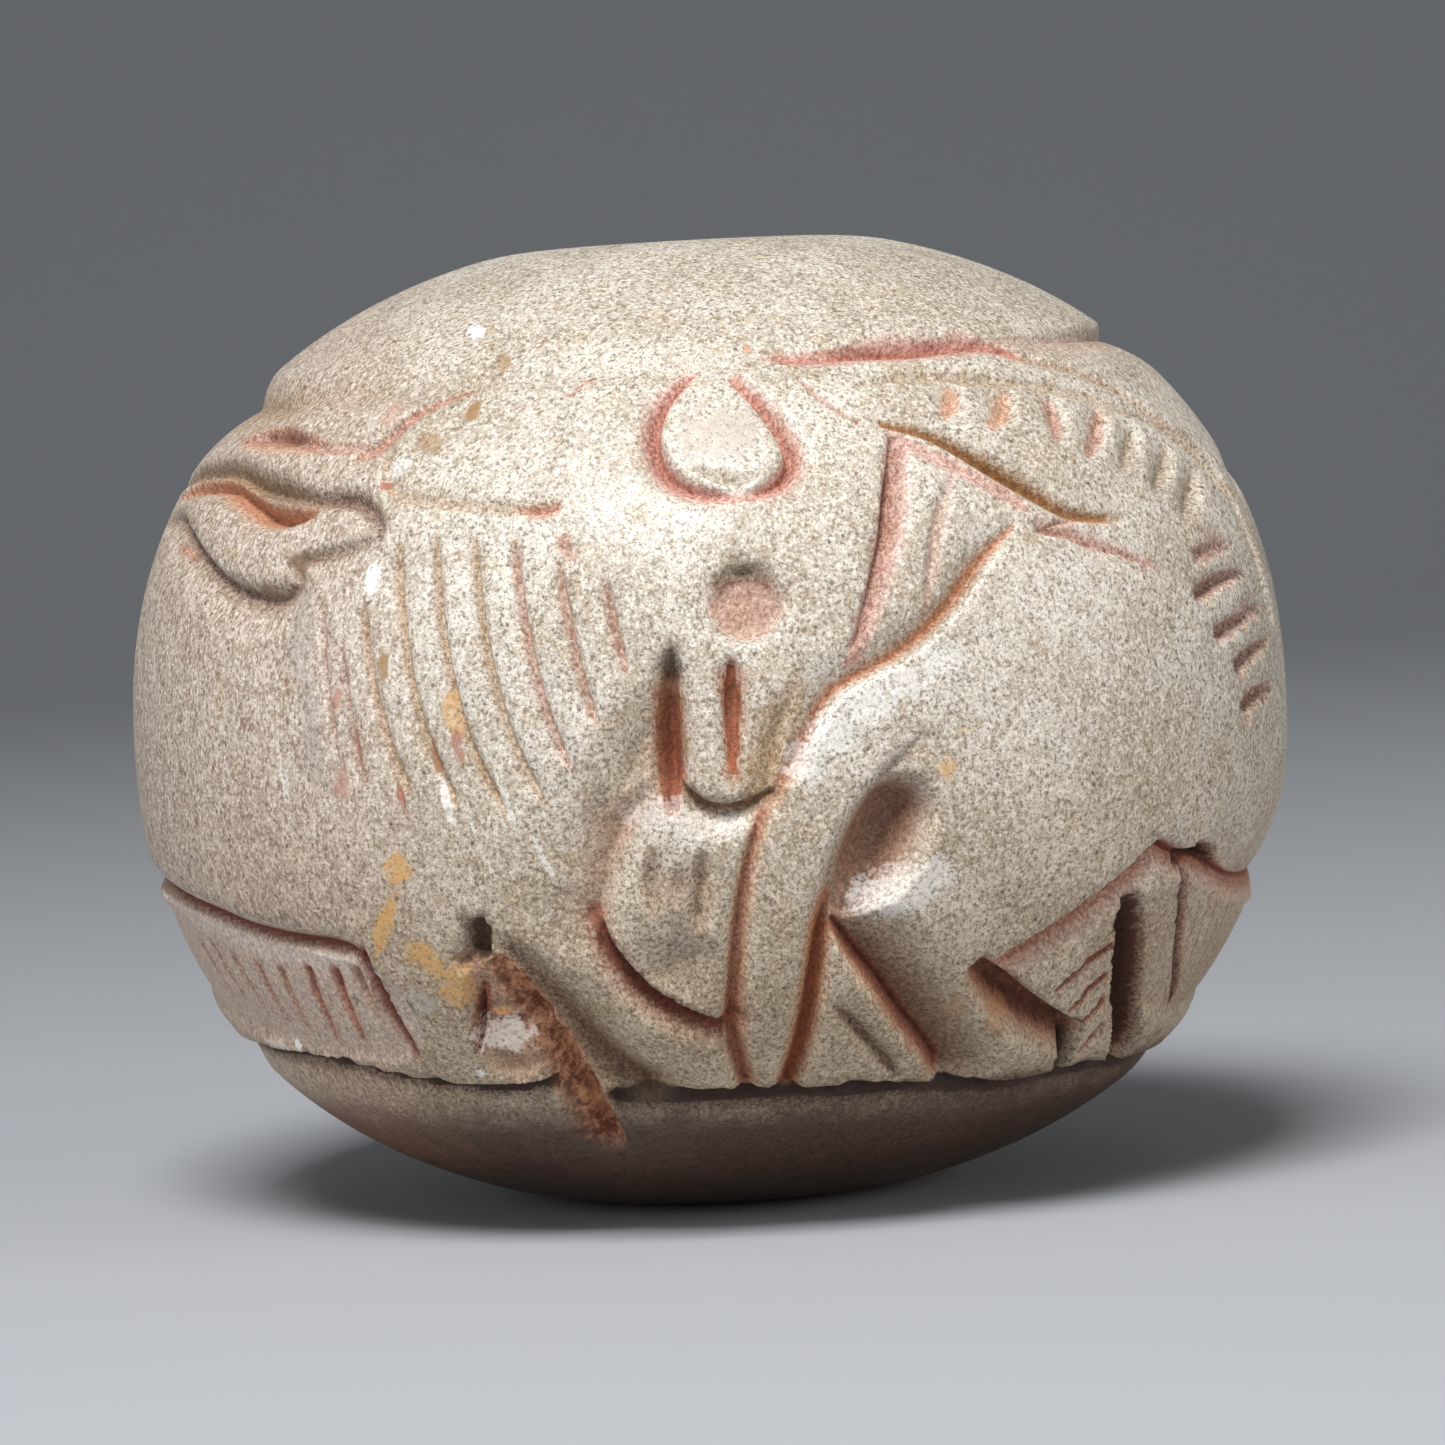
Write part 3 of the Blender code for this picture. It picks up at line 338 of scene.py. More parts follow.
cut([(7, 15), (8.2, 18.9), (8.9, 23.2), (9.4, 27.4), (9.8, 31.5), (10.4, 34.5)], 0.80, 0.55, 0.32,
    swell=(0.8, 0.9, 0.9, 0.9, 0.8, 0.6), tint=(0.30, 0.080, 0.030), rim=(0.48, 0.22, 0.11), dose=0.95,
    stained=0.7)
# The slope down from the limb's right edge, olive as painted shade.
cut([(9.9, 33), (10.9, 37.4), (12.2, 40.4), (14, 43.4), (16.4, 46.6), (19.8, 49.8)], 0.50, 0.34, 0.80,
    swell=(1, 1, 0.9, 0.8, 0.5, 0.1), tint=OLIVE_SHADE, dose=0.6)
cut([(11.8, 33.8), (13.4, 37), (15, 40), (16.4, 42.6)], 1.10, 0.80, 1.15, swell=(0.5, 0.9, 1.1, 1),
    floor=0.35, tint=(0.30, 0.13, 0.09), rim=(0.52, 0.36, 0.28), dose=0.7, stained=0.9, curve=1.2)
cut([(13.8, 38.8), (15.6, 41.8), (17.4, 43.4)], 1.00, 0.34, 0.60, swell=(0.4, 1, 1), floor=0.2,
    tint=(0.27, 0.10, 0.070), rim=(0.40, 0.22, 0.16), dose=0.7, stained=1)

# The beard under the muzzle, the jaw band round it, and the folds right of the limb.
cut([(0.4, 23), (-0.8, 22.3), (-4.1, 23.6), (-7.1, 25.5), (-9.1, 27.8), (-11, 30.9), (-11.9, 34.1)], 0.52,
    0.52, 0.15, swell=(1.2, 1.2, 1.2, 1.2, 1.1, 1, 0.8), tint=(0.15, 0.038, 0.018), rim=(0.32, 0.10, 0.055),
    dose=0.95, stained=0.85)
cut([(-11.9, 34.1), (-11.1, 36.6), (-10.3, 39.3), (-8.8, 42.6), (-6, 46)], 0.55, 1.80, 0.75,
    swell=(0.9, 0.9, 1, 1, 0.7), tint=(0.46, 0.24, 0.17), dose=0.35, stained=0.4)
# The beard's lower part, faintly olive as painted shade.
cut([(-8, 26), (-4.4, 28.6), (0.4, 30)], 0.36, 1.30, 1.60, tint=OLIVE_SHADE, dose=0.25, stained=1)
for top, end, depth in (((-6.2, 41), (-6.4, 33), 0.24), ((-3.7, 39.4), (-4.3, 33), 0.12),
                        ((-1.3, 40.4), (-2.5, 30.5), 0.34)):
    cut([end, top], depth, 0.36, 0.34, tint=(0.24, 0.13, 0.06), dose=0.6, stained=0.8)
# The jaw band's lower-left side rolls off towards the break, dark olive-brown as painted shade.
cut([(-9.9, 15.6), (-12.6, 17.6), (-15.2, 21), (-18, 26), (-21, 30.4)], 0.60, 0.90, 0.95,
    swell=(1.1, 1.1, 1, 0.8, 0.4), tint=(0.12, 0.06, 0.03), rim=OLIVE_SHADE, dose=0.85, stained=0.7)
GULLY = ((26.4, 15), (20.1, 20.4), (16.3, 24.8), (13.1, 28.6), (10.9, 32))
# The gully's wide right wall is dark olive-brown: painted shade over a brown stain.
cut(GULLY, 0.85, 0.24, 1.60, swell=(0.9, 1, 1, 0.9, 0.5), tint=(0.17, 0.085, 0.050), rim=(0.30, 0.21, 0.13),
    dose=0.6, stained=0.9, curve=1.1)
cut(GULLY, 1.00, 0.32, 0.28, swell=(0.9, 1, 1, 0.9, 0.6), tint=(0.17, 0.042, 0.018), rim=(0.40, 0.14, 0.07),
    dose=1, stained=1, curve=1)
cut([(20.2, 15.2), (16.4, 18.3), (13.5, 21.1), (10.7, 23.8)], 0.34, 0.18, 0.42, tint=BROWN, rim=OLIVE_SHADE)

# The old break low on the front: a drilled hole and the flakes lost below it, rough and rusty.
cut([(-16.8, 10.4), (-17.4, 15), (-18.8, 20.6), (-20.8, 25.3), (-22.4, 29)], 0.80, 0.84, 0.46,
    swell=(0.7, 1, 1, 1, 0.6), floor=0.15, tint=RUST, dose=0.6, broken=1, curve=1.1)
cut([(-24.4, 19.4), (-23.8, 22.7), (-23.7, 26.4)], 0.44, 0.95, 0.90, swell=(0.8, 1, 0.7), floor=0.55,
    tint=(0.40, 0.17, 0.10), rim=(0.30, 0.10, 0.05), dose=0.3, broken=0.3, stained=1, curve=1.1)
cut([(-28.6, 19.6), (-26.9, 23.8), (-25, 27.8)], 0.66, 0.13, 0.30, tint=(0.14, 0.032, 0.016), rim=RUST,
    dose=1, stained=1, broken=0.3)
cut([(-26.2, 23.4), (-24.2, 22.6), (-21.6, 23.1)], 0.72, 0.12, 0.24, tint=(0.10, 0.03, 0.016), rim=RUST,
    dose=1, broken=0.2)
cut([(-27.8, 30.4), (-25.6, 29.6), (-23.2, 29.5)], 0.40, 0.40, 0.40, tint=(0.17, 0.07, 0.03), dose=0.8,
    broken=0.4)
cut([(-24.7, 30.6), (-24.3, 32.8)], 0.66, 0.34, 0.38, swell=(1, 1), floor=0.4, tint=(0.12, 0.068, 0.042),
    rim=(0.27, 0.18, 0.115), dose=1, stained=1, curve=1, broken=-1)

# The right beast: slots in its flank, its belly's edge, the wedge and the feet below it.
for slot, full in ((((57.8, 65), (61.7, 65.5), (66.1, 65.8)), 0.35),
                   (((56.3, 61.2), (61.9, 62.4), (68.1, 62.9)), 1),
                   (((59, 57), (63.5, 57.9), (71.3, 59.2)), 1),
                   (((62.3, 53.4), (66.1, 54.5), (71.9, 55.6)), 1),
                   (((64, 49.3), (67.3, 50.3), (72.9, 50.8)), 1)):
    cut(slot, 0.36 * full, 0.22, 0.20, swell=(1, 0.8, 0.1), floor=0.3, tint=(0.20, 0.055, 0.03),
        rim=(0.50, 0.25, 0.18), dose=0.85, stained=1)
# The broad slope over the belly's edge, faintly olive as painted shade.
cut([(54, 34.6), (60, 33.4), (66, 31.6), (74, 30.6), (84, 30.4), (100, 32)], 0.50, 2.00, 0.20,
    swell=(0.05, 0.5, 0.8, 1, 1, 0.5), tint=OLIVE_SHADE, dose=0.2, curve=2)
cut([(27.6, 26.3), (30.2, 27.1), (33.3, 28.5), (36.4, 30), (39.6, 31.7), (42.5, 33.2), (45.1, 34.8),
     (48.2, 36.6), (51.9, 35.4), (55, 34.8), (60, 33.4), (66, 31.6), (74, 30.6), (84, 30.4), (100, 32),
     (116, 37), (130, 41), (146, 41)], 0.54, 0.16, 0.95, tint=(0.30, 0.085, 0.05), rim=(0.68, 0.42, 0.34),
    dose=0.85, stained=0.6, slit=0.06)
# The wedge pit between belly and paw: its near-black is painted shadow, reddening up the walls.
cut([(53, 34.5), (55.6, 35), (58.6, 34.4), (61, 32.8)], 0.98, 0.26, 0.30, swell=(0.8, 1, 0.9, 0.4),
    floor=0.3, tint=(0.06, 0.018, 0.010), rim=(0.34, 0.11, 0.06), dose=1, stained=1, curve=1)
cut([(47, 25.5), (56, 25), (66, 23.5), (78, 22), (92, 22)], 0.28, 1.60, 1.60, swell=(0.7, 1, 1, 1, 0.5),
    floor=0.75, tint=(0.30, 0.19, 0.12), dose=0.2, stained=1)
# The deep gap: its near-black is painted shadow, with red-brown earth up its walls.
cut([(56.5, 14.2), (51.6, 18.4), (48.4, 22.2), (46.5, 25.6), (45.1, 29), (44.2, 32)], 1.05, 0.24, 1.00,
    swell=(0.7, 0.9, 1, 1, 0.7, 0.1), floor=0.45, tint=(0.050, 0.015, 0.007), rim=(0.18, 0.055, 0.024),
    dose=1, stained=1, curve=1)
cut([(67, 17.6), (59.5, 23.2), (56.2, 27.8), (54.4, 31.6), (52.8, 34.8)], 0.50, 0.12, 0.60, tint=BROWN,
    rim=(0.36, 0.16, 0.09), dose=0.9, stained=0.6, slit=0.08)
for azimuth in 60 + 2.4 * np.arange(8):
    cut([(azimuth + 3.4, 19.5), (azimuth + 1, 25), (azimuth, 30.6)], 0.16, 0.12, 0.14,
        tint=(0.22, 0.11, 0.065), dose=0.6)
cut([(28.2, 25.9), (31, 24.2), (34.6, 22), (38.4, 20.2), (42.8, 18.6)], 0.95, 0.17, 0.95,
    swell=(0.7, 1, 1, 1, 0.9), floor=0.2, tint=(0.12, 0.036, 0.018), rim=(0.46, 0.21, 0.12), dose=1,
    stained=0.9, curve=1, broken=0.2)
# A narrow gap below the belly, painted near-black as shadow.
cut([(45.6, 13.8), (44.2, 16), (43.2, 18.4)], 0.85, 0.24, 0.26, swell=(0.9, 1, 1), tint=PAINTED_SHADOW, dose=1,
    stained=1, curve=1)
for hatch in (((37.6, 22.9), (40.9, 24.9), (44.4, 26.5)), ((41, 20.5), (43.2, 22), (45.2, 23.3)),
              ((43.8, 18.6), (46.5, 20.6)), ((47, 15.8), (48.2, 17.9))):
    cut(hatch, 0.32, 0.12, 0.28, swell=(0.3, 1, 1)[:len(hatch)], tint=(0.16, 0.05, 0.022),
        rim=(0.40, 0.22, 0.14), dose=0.95, stained=0.8)
cut([(49.4, 19), (51.6, 23), (53, 28)], 0.14, 0.30, 0.40, tint=OCHRE, dose=0.35)

# The left beast's belly edge with a pale ledge under it, which is painted highlight, and the hatched leg.
LEDGE = np.array(((-160, 18), (-145, 23), (-130, 29), (-112, 34), (-95, 36.6), (-84, 36.6), (-75.6, 35.5),
                  (-67.5, 34.4), (-60.9, 33.5), (-55.3, 32.4), (-48.7, 31.6), (-43.6, 31.2), (-40.3, 30.8),
                  (-37.9, 30.1)))
cut(LEDGE, 0.50, 0.45, 0.42, swell=(0.1, 0.5, 0.7, 0.8, 0.9, 1, 1, 1, 1, 1, 1, 1, 0.8, 0.2),
    tint=(0.14, 0.032, 0.018), rim=(0.30, 0.11, 0.08), dose=1, stained=0.34)
# The pale band under the belly edge is a painted highlight on its ledge.
cut(LEDGE[5:] - (0, 1.5), 0.16, 0.16, 0.44, swell=(0.1, 0.6, 1, 1, 1, 1, 1, 0.8, 0.3),
    tint=(0.76, 0.66, 0.60), dose=0.8, stained=1)
cut([(-40.5, 24), (-52, 25), (-64, 26.5), (-78, 28), (-92, 28.5)], 0.26, 1.50, 1.50,
    swell=(0.6, 0.9, 0.9, 0.8, 0.4), floor=0.8, tint=(0.68, 0.54, 0.46), dose=0.5, stained=1)
cut([(-36.8, 20), (-37.5, 24), (-38, 28), (-38.1, 30.4)], 0.50, 0.40, 0.14, swell=(0.4, 1, 1, 0.8),
    tint=(0.17, 0.04, 0.022), rim=(0.34, 0.13, 0.08), dose=0.95, stained=0.8)
for top, end, dose in (((-57.7, 28.1), (-57.4, 22.6), 0.6), ((-53.2, 27.9), (-53.8, 21.8), 0.7),
                       ((-48.2, 28.2), (-49.1, 21), 1), ((-43.9, 28.2), (-44.4, 21.2), 1),
                       ((-40.6, 28.4), (-40, 24), 0.5), ((-62.6, 29), (-61.2, 24), 0.45),
                       ((-67.4, 30), (-65.4, 24.6), 0.4), ((-71.6, 30), (-69.4, 24.6), 0.4)):
    cut([end, top], 0.32 + 0.24 * dose, 0.22, 0.34, swell=(0.5, 1), tint=(0.30, 0.095, 0.05),
        rim=(0.50, 0.27, 0.20), dose=dose**0.5, stained=0.95, curve=1.2)
for azimuth in (-55.4, -51, -46.2, -42.2):
    cut([(azimuth - 0.6, 22.5), (azimuth, 27.5)], 0.40, 0.08, 0.08, tint=(0.72, 0.58, 0.50), dose=0.5)

# The far side: a plainer flank with ribs, limbs and a haunch.
for azimuth in 100 + 7 * np.arange(6):
    rib(azimuth, 72, 50, 0.55, 0.45, tint=OLIVE_SHADE, dose=0.45)
cut([(78, 71), (92, 76), (112, 79), (132, 77), (148, 70), (155, 60)], 0.38, 0.45, 0.80, tint=RED, dose=0.6)
for limb in (((100, 17), (103, 25), (110, 34)), ((119, 17), (122, 25), (127, 34))):
    cut(limb, 0.28, 0.50, 0.56, tint=BROWN, dose=0.6)
for azimuth in (160, 171):
    cut([(azimuth, 17.4), (azimuth - 1, 35), (azimuth + 1, 52), (azimuth + 5, 70)], 0.34, 0.56, 0.56,
        tint=RED, dose=0.6)
cut([(-172, 60), (-165, 70), (-150, 76), (-130, 76), (-112, 68), (-106, 58), (-110, 48)], 0.38, 0.80, 0.50,
    tint=RED, dose=0.6)

# Stains, chips and specks on the skin, of age and of the ground that the bead lay in, and patches of painted
# highlight and painted shade. Each has an azimuth, a height share, half a width and half a height in
# millimetres, a lean in degrees, a colour and a dose.
YELLOW = (0.62, 0.34, 0.11)
# The chalk-white below serves both for real chalky chips and for painted highlights.
CHALK_AND_HIGHLIGHT = (0.86, 0.85, 0.82)
SLATE = (0.10, 0.12, 0.20)
SOOT = (0.05, 0.038, 0.032)
SMOKE = (0.27, 0.25, 0.23)
UMBER = (0.20, 0.11, 0.05)
STAIN_AND_PAINTED_LIGHT_DEPTH = 0.8
FARTHEST = 4.0
STAINS_AND_PAINTED_LIGHT = (
    (-31.5, 39.3, 0.42, 0.44, 5, YELLOW, 0.9), (-34.4, 33.6, 0.24, 1.05, -35, YELLOW, 0.9),
    (-30.4, 30.0, 0.62, 0.42, -30, YELLOW, 0.85), (-28.0, 27.2, 0.46, 0.60, -20, YELLOW, 0.85),
    (-24.4, 54.3, 0.24, 0.62, 8, YELLOW, 0.6), (-24.0, 51.4, 0.14, 0.50, 8, RED, 0.7),
    (22.0, 46.4, 0.20, 0.34, -10, YELLOW, 0.7), (24.1, 50.2, 0.24, 0.16, 0, YELLOW, 0.45),
    (-32.5, 91.6, 0.34, 0.16, -30, CHALK_AND_HIGHLIGHT, 1.0), (-33.5, 67.7, 0.24, 0.42, -5, CHALK_AND_HIGHLIGHT, 1.0),
    (-33.7, 78.5, 0.40, 0.24, 30, CHALK_AND_HIGHLIGHT, 0.5), (-34.8, 77.0, 0.14, 0.14, 0, RED, 0.9),
    (-26.0, 83.5, 0.22, 0.24, 0, OCHRE, 0.9), (-30.2, 80.7, 0.46, 0.30, -20, OCHRE, 0.6),
    (-24.9, 88.4, 0.20, 0.24, 20, OCHRE, 0.7), (-38.1, 83.8, 0.36, 0.30, -40, PINK, 0.4),
    (-8.4, 71.1, 0.14, 0.10, 0, SLATE, 0.55), (-6.8, 71.0, 0.10, 0.10, 0, SLATE, 0.9),
    (55.8, 59.7, 0.16, 0.16, 0, SLATE, 0.4), (-31.0, 37.5, 0.10, 0.09, 0, SOOT, 0.9),
    (-34.4, 25.1, 0.15, 0.19, 0, SOOT, 0.8), (-29.3, 18.0, 0.15, 0.11, 0, CHALK_AND_HIGHLIGHT, 0.9),
    (-58.2, 19.8, 0.16, 0.11, -20, CHALK_AND_HIGHLIGHT, 0.9), (-33.8, 6.4, 0.95, 0.60, 0, (0.06, 0.025, 0.018), 0.8),
    (-25.0, 21.4, 0.78, 0.56, 4, (0.76, 0.64, 0.54), 1.0), (7.4, 88.4, 0.12, 0.12, 0, ORANGE, 0.7),
    (-42.0, 63.0, 0.50, 1.30, 0, SMOKE, 0.35), (-40.5, 53.0, 0.35, 1.60, 5, SMOKE, 0.35),
    (-31.6, 59.4, 0.16, 0.44, 0, OCHRE, 0.9), (-26.3, 50.2, 0.15, 0.50, 10, (0.30, 0.12, 0.05), 0.8),
    (-37.2, 56.1, 0.16, 0.30, -20, (0.45, 0.20, 0.13), 0.7), (-30.2, 46.2, 0.14, 0.34, 0, RED, 0.7),
    (-37.0, 47.8, 0.30, 0.50, 0, (0.40, 0.19, 0.13), 0.6),
    (-34.7, 51.1, 0.10, 0.70, 8, (0.30, 0.12, 0.08), 0.7), (-44.4, 48.4, 0.16, 0.60, 10, CHALK_AND_HIGHLIGHT, 0.35),
    (-25.4, 45.4, 0.11, 1.00, 14, CHALK_AND_HIGHLIGHT, 0.55), (-22.4, 41.6, 0.09, 1.00, 16, CHALK_AND_HIGHLIGHT, 0.5),
    (-19.4, 45.4, 0.10, 0.90, 15, CHALK_AND_HIGHLIGHT, 0.45), (-16.6, 40.4, 0.10, 0.90, 20, CHALK_AND_HIGHLIGHT, 0.45),
    (-44.0, 69.8, 0.40, 0.30, 20, UMBER, 0.7), (-48.4, 67.3, 0.40, 0.20, 0, UMBER, 0.7),
    (31.0, 20.6, 0.50, 0.40, 0, (0.50, 0.24, 0.10), 0.55),
    (25.6, 22.0, 0.30, 0.40, 0, (0.50, 0.26, 0.12), 0.45),
    (-24.6, 23.6, 0.30, 0.20, 0, (0.74, 0.36, 0.15), 1.0),
    (-32.8, 25.6, 0.44, 0.34, 0, (0.44, 0.41, 0.37), 0.6),
    (-63.0, 19.9, 0.60, 0.14, -8, (0.72, 0.62, 0.55), 0.7),
    # From the patch at (-5.2, 43.6) on, the chalk-white patches on the beard's top, along the limb and on the
    # thumb hollow's lip are painted highlights.
    (-17.4, 12.6, 0.30, 0.60, 10, (0.50, 0.22, 0.11), 0.7), (-5.2, 43.6, 0.95, 0.46, 0, CHALK_AND_HIGHLIGHT, 0.25),
    (-2.0, 42.0, 0.90, 0.42, 0, CHALK_AND_HIGHLIGHT, 0.25), (1.2, 42.2, 0.45, 0.36, 0, CHALK_AND_HIGHLIGHT, 0.3),
    (8.5, 48.0, 0.55, 0.60, 0, CHALK_AND_HIGHLIGHT, 0.5), (11.0, 50.6, 0.60, 0.60, 0, CHALK_AND_HIGHLIGHT, 0.55),
    (14.4, 53.0, 0.70, 0.50, 0, CHALK_AND_HIGHLIGHT, 0.55), (18.2, 55.0, 0.70, 0.46, 0, CHALK_AND_HIGHLIGHT, 0.55),
    (22.0, 57.0, 0.60, 0.40, 0, CHALK_AND_HIGHLIGHT, 0.5), (15.2, 33.8, 0.70, 0.50, 0, CHALK_AND_HIGHLIGHT, 0.55),
    (18.2, 34.6, 0.90, 0.60, 0, CHALK_AND_HIGHLIGHT, 0.45), (20.8, 36.2, 0.60, 0.44, 0, CHALK_AND_HIGHLIGHT, 0.45),
    # This last patch darkens the boss: painted shade over its highlight.
    (2.9, 80.2, 1.20, 0.90, 0, (0.46, 0.39, 0.32), 0.8))


def from_stain_and_painted_light(stain, points):
    """How far points lie from the middle of one of the stains or patches of painted light, in shares of its
    half width and half height.
    """
    azimuth, share, wide, tall, lean = stain[:5]
    turned = np.array(Euler((0, -math.radians(lean), math.radians(azimuth))).to_matrix())
    offset = (points - on_blank(azimuth, share)) @ turned
    return np.linalg.norm(offset / (wide * MM, STAIN_AND_PAINTED_LIGHT_DEPTH * MM, tall * MM), axis=1)


def skin_points():
    return np.array([vert.co[:] for vert in bead.verts])


# The skin is made finer in three rounds where the carving is, and only round the bottoms of narrow and
# broken cuts in the last. A round has a slack and a reach round a cut in millimetres, a reach round the
# stains and painted light in shares, the azimuth where it ends, and whether it leaves the wide cuts out.
NARROW = 0.22
ROUNDS = ((0.25, 9, 2.0, 100, False), (0.05, 0.30, 1.5, 90, False), (0.02, 0.19, None, 80, True))
for slack, reach, stain_and_painted_light_reach, last_azimuth, narrow_only in ROUNDS:
    points = skin_points()
    outward = normals_at(points)
    wanted = np.zeros(len(points), bool)
    for one in cuts:
        if narrow_only and min(one["left"].max(), one["right"].max()) > NARROW * MM and one["broken"] < 0.5:
            continue
        near, gap, share, _ = falls(one, points, outward, slack * MM)
        width = gap / np.maximum(share, 1e-9)
        limit = width if one["broken"] > 0.5 else np.minimum(width, reach * MM)
        wanted[near[gap < limit + slack * MM]] = True
    for stain in STAINS_AND_PAINTED_LIGHT if stain_and_painted_light_reach else ():
        wanted |= from_stain_and_painted_light(stain, points) < stain_and_painted_light_reach
    wanted &= np.abs(np.degrees(np.arctan2(points[:, 0], -points[:, 1]))) < last_azimuth
    bead.verts.index_update()
    edges = [edge for edge in bead.edges if wanted[edge.verts[0].index] and wanted[edge.verts[1].index]]
    bmesh.ops.subdivide_edges(bead, edges=edges, cuts=1, use_grid_fill=True)
bmesh.ops.triangulate(bead, faces=bead.faces)
bmesh.ops.recalc_face_normals(bead, faces=bead.faces)

# Every point sinks to its cut's depth. The red earth and the painted shade thin out up the walls and
# towards a cut's ends, the strongest and deepest cut gives the colour where some meet, and the break gets
# its flakes and crumbs.
WALL_FADE, END_FADE, BREAK_FADE = 2.2, 0.25, 1.8
RIM_PART, MIXED_PART = 0.2, 0.5
FLAKE_SCALE, FLAKE_MIDDLE, FLAKE_HEIGHT = 1.3, 0.4, 0.34
points = skin_points()
outward = normals_at(points)
sunk = np.zeros(len(points))
tints = np.zeros((len(points), 3))
doses = np.zeros(len(points))
most = np.zeros(len(points))
rough = np.zeros(len(points))
for one in cuts:
    near, _, share, depth = falls(one, points, outward)
    wall = np.clip((1 - share) / (1 - one["floor"]), 0, 1)
    sunk[near] = np.maximum(sunk[near], depth * wall ** one["curve"])
    up_wall = np.clip((wall - 1 + one["stained"]) / one["stained"], 0, 1)
    in_cut = np.clip(depth / (END_FADE * one["depth"].max()), 0, 1)
    dose = one["dose"] * np.clip(WALL_FADE * up_wall, 0, 1) * in_cut
    deep = np.clip((up_wall - RIM_PART) / MIXED_PART, 0, 1)[:, None]
    weight = dose**2 * (0.1 + wall * depth / MM) ** 2
    tints[near] += weight[:, None] * (one["rim"] + deep * (one["tint"] - one["rim"]))
    doses[near] += weight
    most[near] = np.maximum(most[near], dose)
    ragged = np.clip(BREAK_FADE * wall, 0, 1) * (depth > 0)
    if one["broken"] < 0:
        rough[near] = rough[near] * (1 - ragged)
    else:
        rough[near] = np.maximum(rough[near], one["broken"] * ragged)
crumbs = np.zeros(len(points))
for index in np.nonzero(rough)[0]:
    spot = Vector(points[index]) / MM
    facet = noise.voronoi(spot * FLAKE_SCALE)[0][0] - FLAKE_MIDDLE
    crumbs[index] = FLAKE_HEIGHT * facet + 0.10 * noise.noise(spot * 2.6) + 0.05 * noise.noise(spot * 6)
sunk = np.maximum(sunk + rough * crumbs * MM, 0)
settled = points - outward * sunk[:, None]
for vert, place in zip(bead.verts, settled):
    vert.co = place

bead_mesh = bpy.data.meshes.new("stone_bead")
bead.to_mesh(bead_mesh)
bead.free()
bead_mesh.shade_smooth()
colours = np.column_stack((tints / np.maximum(doses, 1e-12)[:, None] * most[:, None], most))
layer = bead_mesh.attributes.new("earth_and_shade", "FLOAT_COLOR", "POINT")
layer.data.foreach_set("color", colours.ravel())
for name, values in (("hollow", sunk / MM), ("broken", rough)):
    layer = bead_mesh.attributes.new(name, "FLOAT", "POINT")
    layer.data.foreach_set("value", values)
distances = np.array([from_stain_and_painted_light(stain, points) for stain in STAINS_AND_PAINTED_LIGHT])
closest = distances.argmin(axis=0)
stain_and_painted_light_tints = np.array([(*stain[5], stain[6]) for stain in STAINS_AND_PAINTED_LIGHT])[closest]
layer = bead_mesh.attributes.new("stain", "FLOAT_COLOR", "POINT")
layer.data.foreach_set("color", stain_and_painted_light_tints.ravel())
layer = bead_mesh.attributes.new("from_stain_and_painted_light", "FLOAT", "POINT")
layer.data.foreach_set("value", np.minimum(distances.min(axis=0), FARTHEST))
bead_piece = bpy.data.objects.new("stone_bead", bead_mesh)
bpy.context.scene.collection.objects.link(bead_piece)


# The stone: cream-grey and fine-grained with dark and pale grains, browner and longer-grained at the left,
# darker towards the foot, with painted shade on the lower cap and in the hollows, and with red earth and
# painted shade in the cuts.

class Value:
    """A socket with arithmetic: each operation adds a Math node."""

    def __init__(self, nodes, socket):
        self.nodes, self.socket = nodes, socket

    def _math(self, operation, *others):
        return self.nodes.node("ShaderNodeMath", {"operation": operation}, *others)

    def __add__(self, other):
        return self._math("ADD", self, other)

    __radd__ = __add__

    def __mul__(self, other):
        return self._math("MULTIPLY", self, other)

    __rmul__ = __mul__

    def __sub__(self, other):
        return self._math("SUBTRACT", self, other)

    def __rsub__(self, other):
        return self._math("SUBTRACT", other, self)


class Nodes:
    """A material's nodes. A node takes its type, its settings, and the values or links of its sockets."""

    def __init__(self, material):
        material.use_nodes = True
        self.tree = material.node_tree
        self.tree.nodes.clear()

    def node(self, kind, settings=None, *inputs, output=0, **named):
        node = self.tree.nodes.new(kind)
        for name, value in (settings or {}).items():
            setattr(node, name, value)
        for key, value in (*enumerate(inputs), *named.items()):
            socket = node.inputs[key]
            if isinstance(value, Value):
                self.tree.links.new(value.socket, socket)
            elif value is not None:
                socket.default_value = value
        return Value(self, node.outputs[output])


stone = bpy.data.materials.new("carved stone")
nodes = Nodes(stone)
position = nodes.node("ShaderNodeTexCoord", output="Object")
in_mm = nodes.node("ShaderNodeVectorMath", {"operation": "SCALE"}, position, Scale=1000.0)


def vector(operation, *inputs, output=0, **named):
    return nodes.node("ShaderNodeVectorMath", {"operation": operation}, *inputs, output=output, **named)


def attribute(name, output):
    return nodes.node("ShaderNodeAttribute", {"attribute_name": name}, output=output)


def noise_at(spot, scale, detail=2.0, roughness=0.6, distortion=0.0):
    return nodes.node("ShaderNodeTexNoise", None, Vector=spot, Scale=scale, Detail=detail,
                      Roughness=roughness, Distortion=distortion)


def ramp(value, low, high, start=0.0, end=1.0):
    """A soft climb from start to end, while the value goes from low to high."""
    settings = {"interpolation_type": "SMOOTHSTEP"}
    return nodes.node("ShaderNodeMapRange", settings, value, low, high, start, end)


def blend(factor, under, over):
    """A mix of two colours, which are the seventh and eighth sockets of a Mix node."""
    under, over = (c if isinstance(c, Value) else (*c, 1) for c in (under, over))
    skipped = [None] * 5
    return nodes.node("ShaderNodeMix", {"data_type": "RGBA"}, factor, *skipped, under, over, output=2)


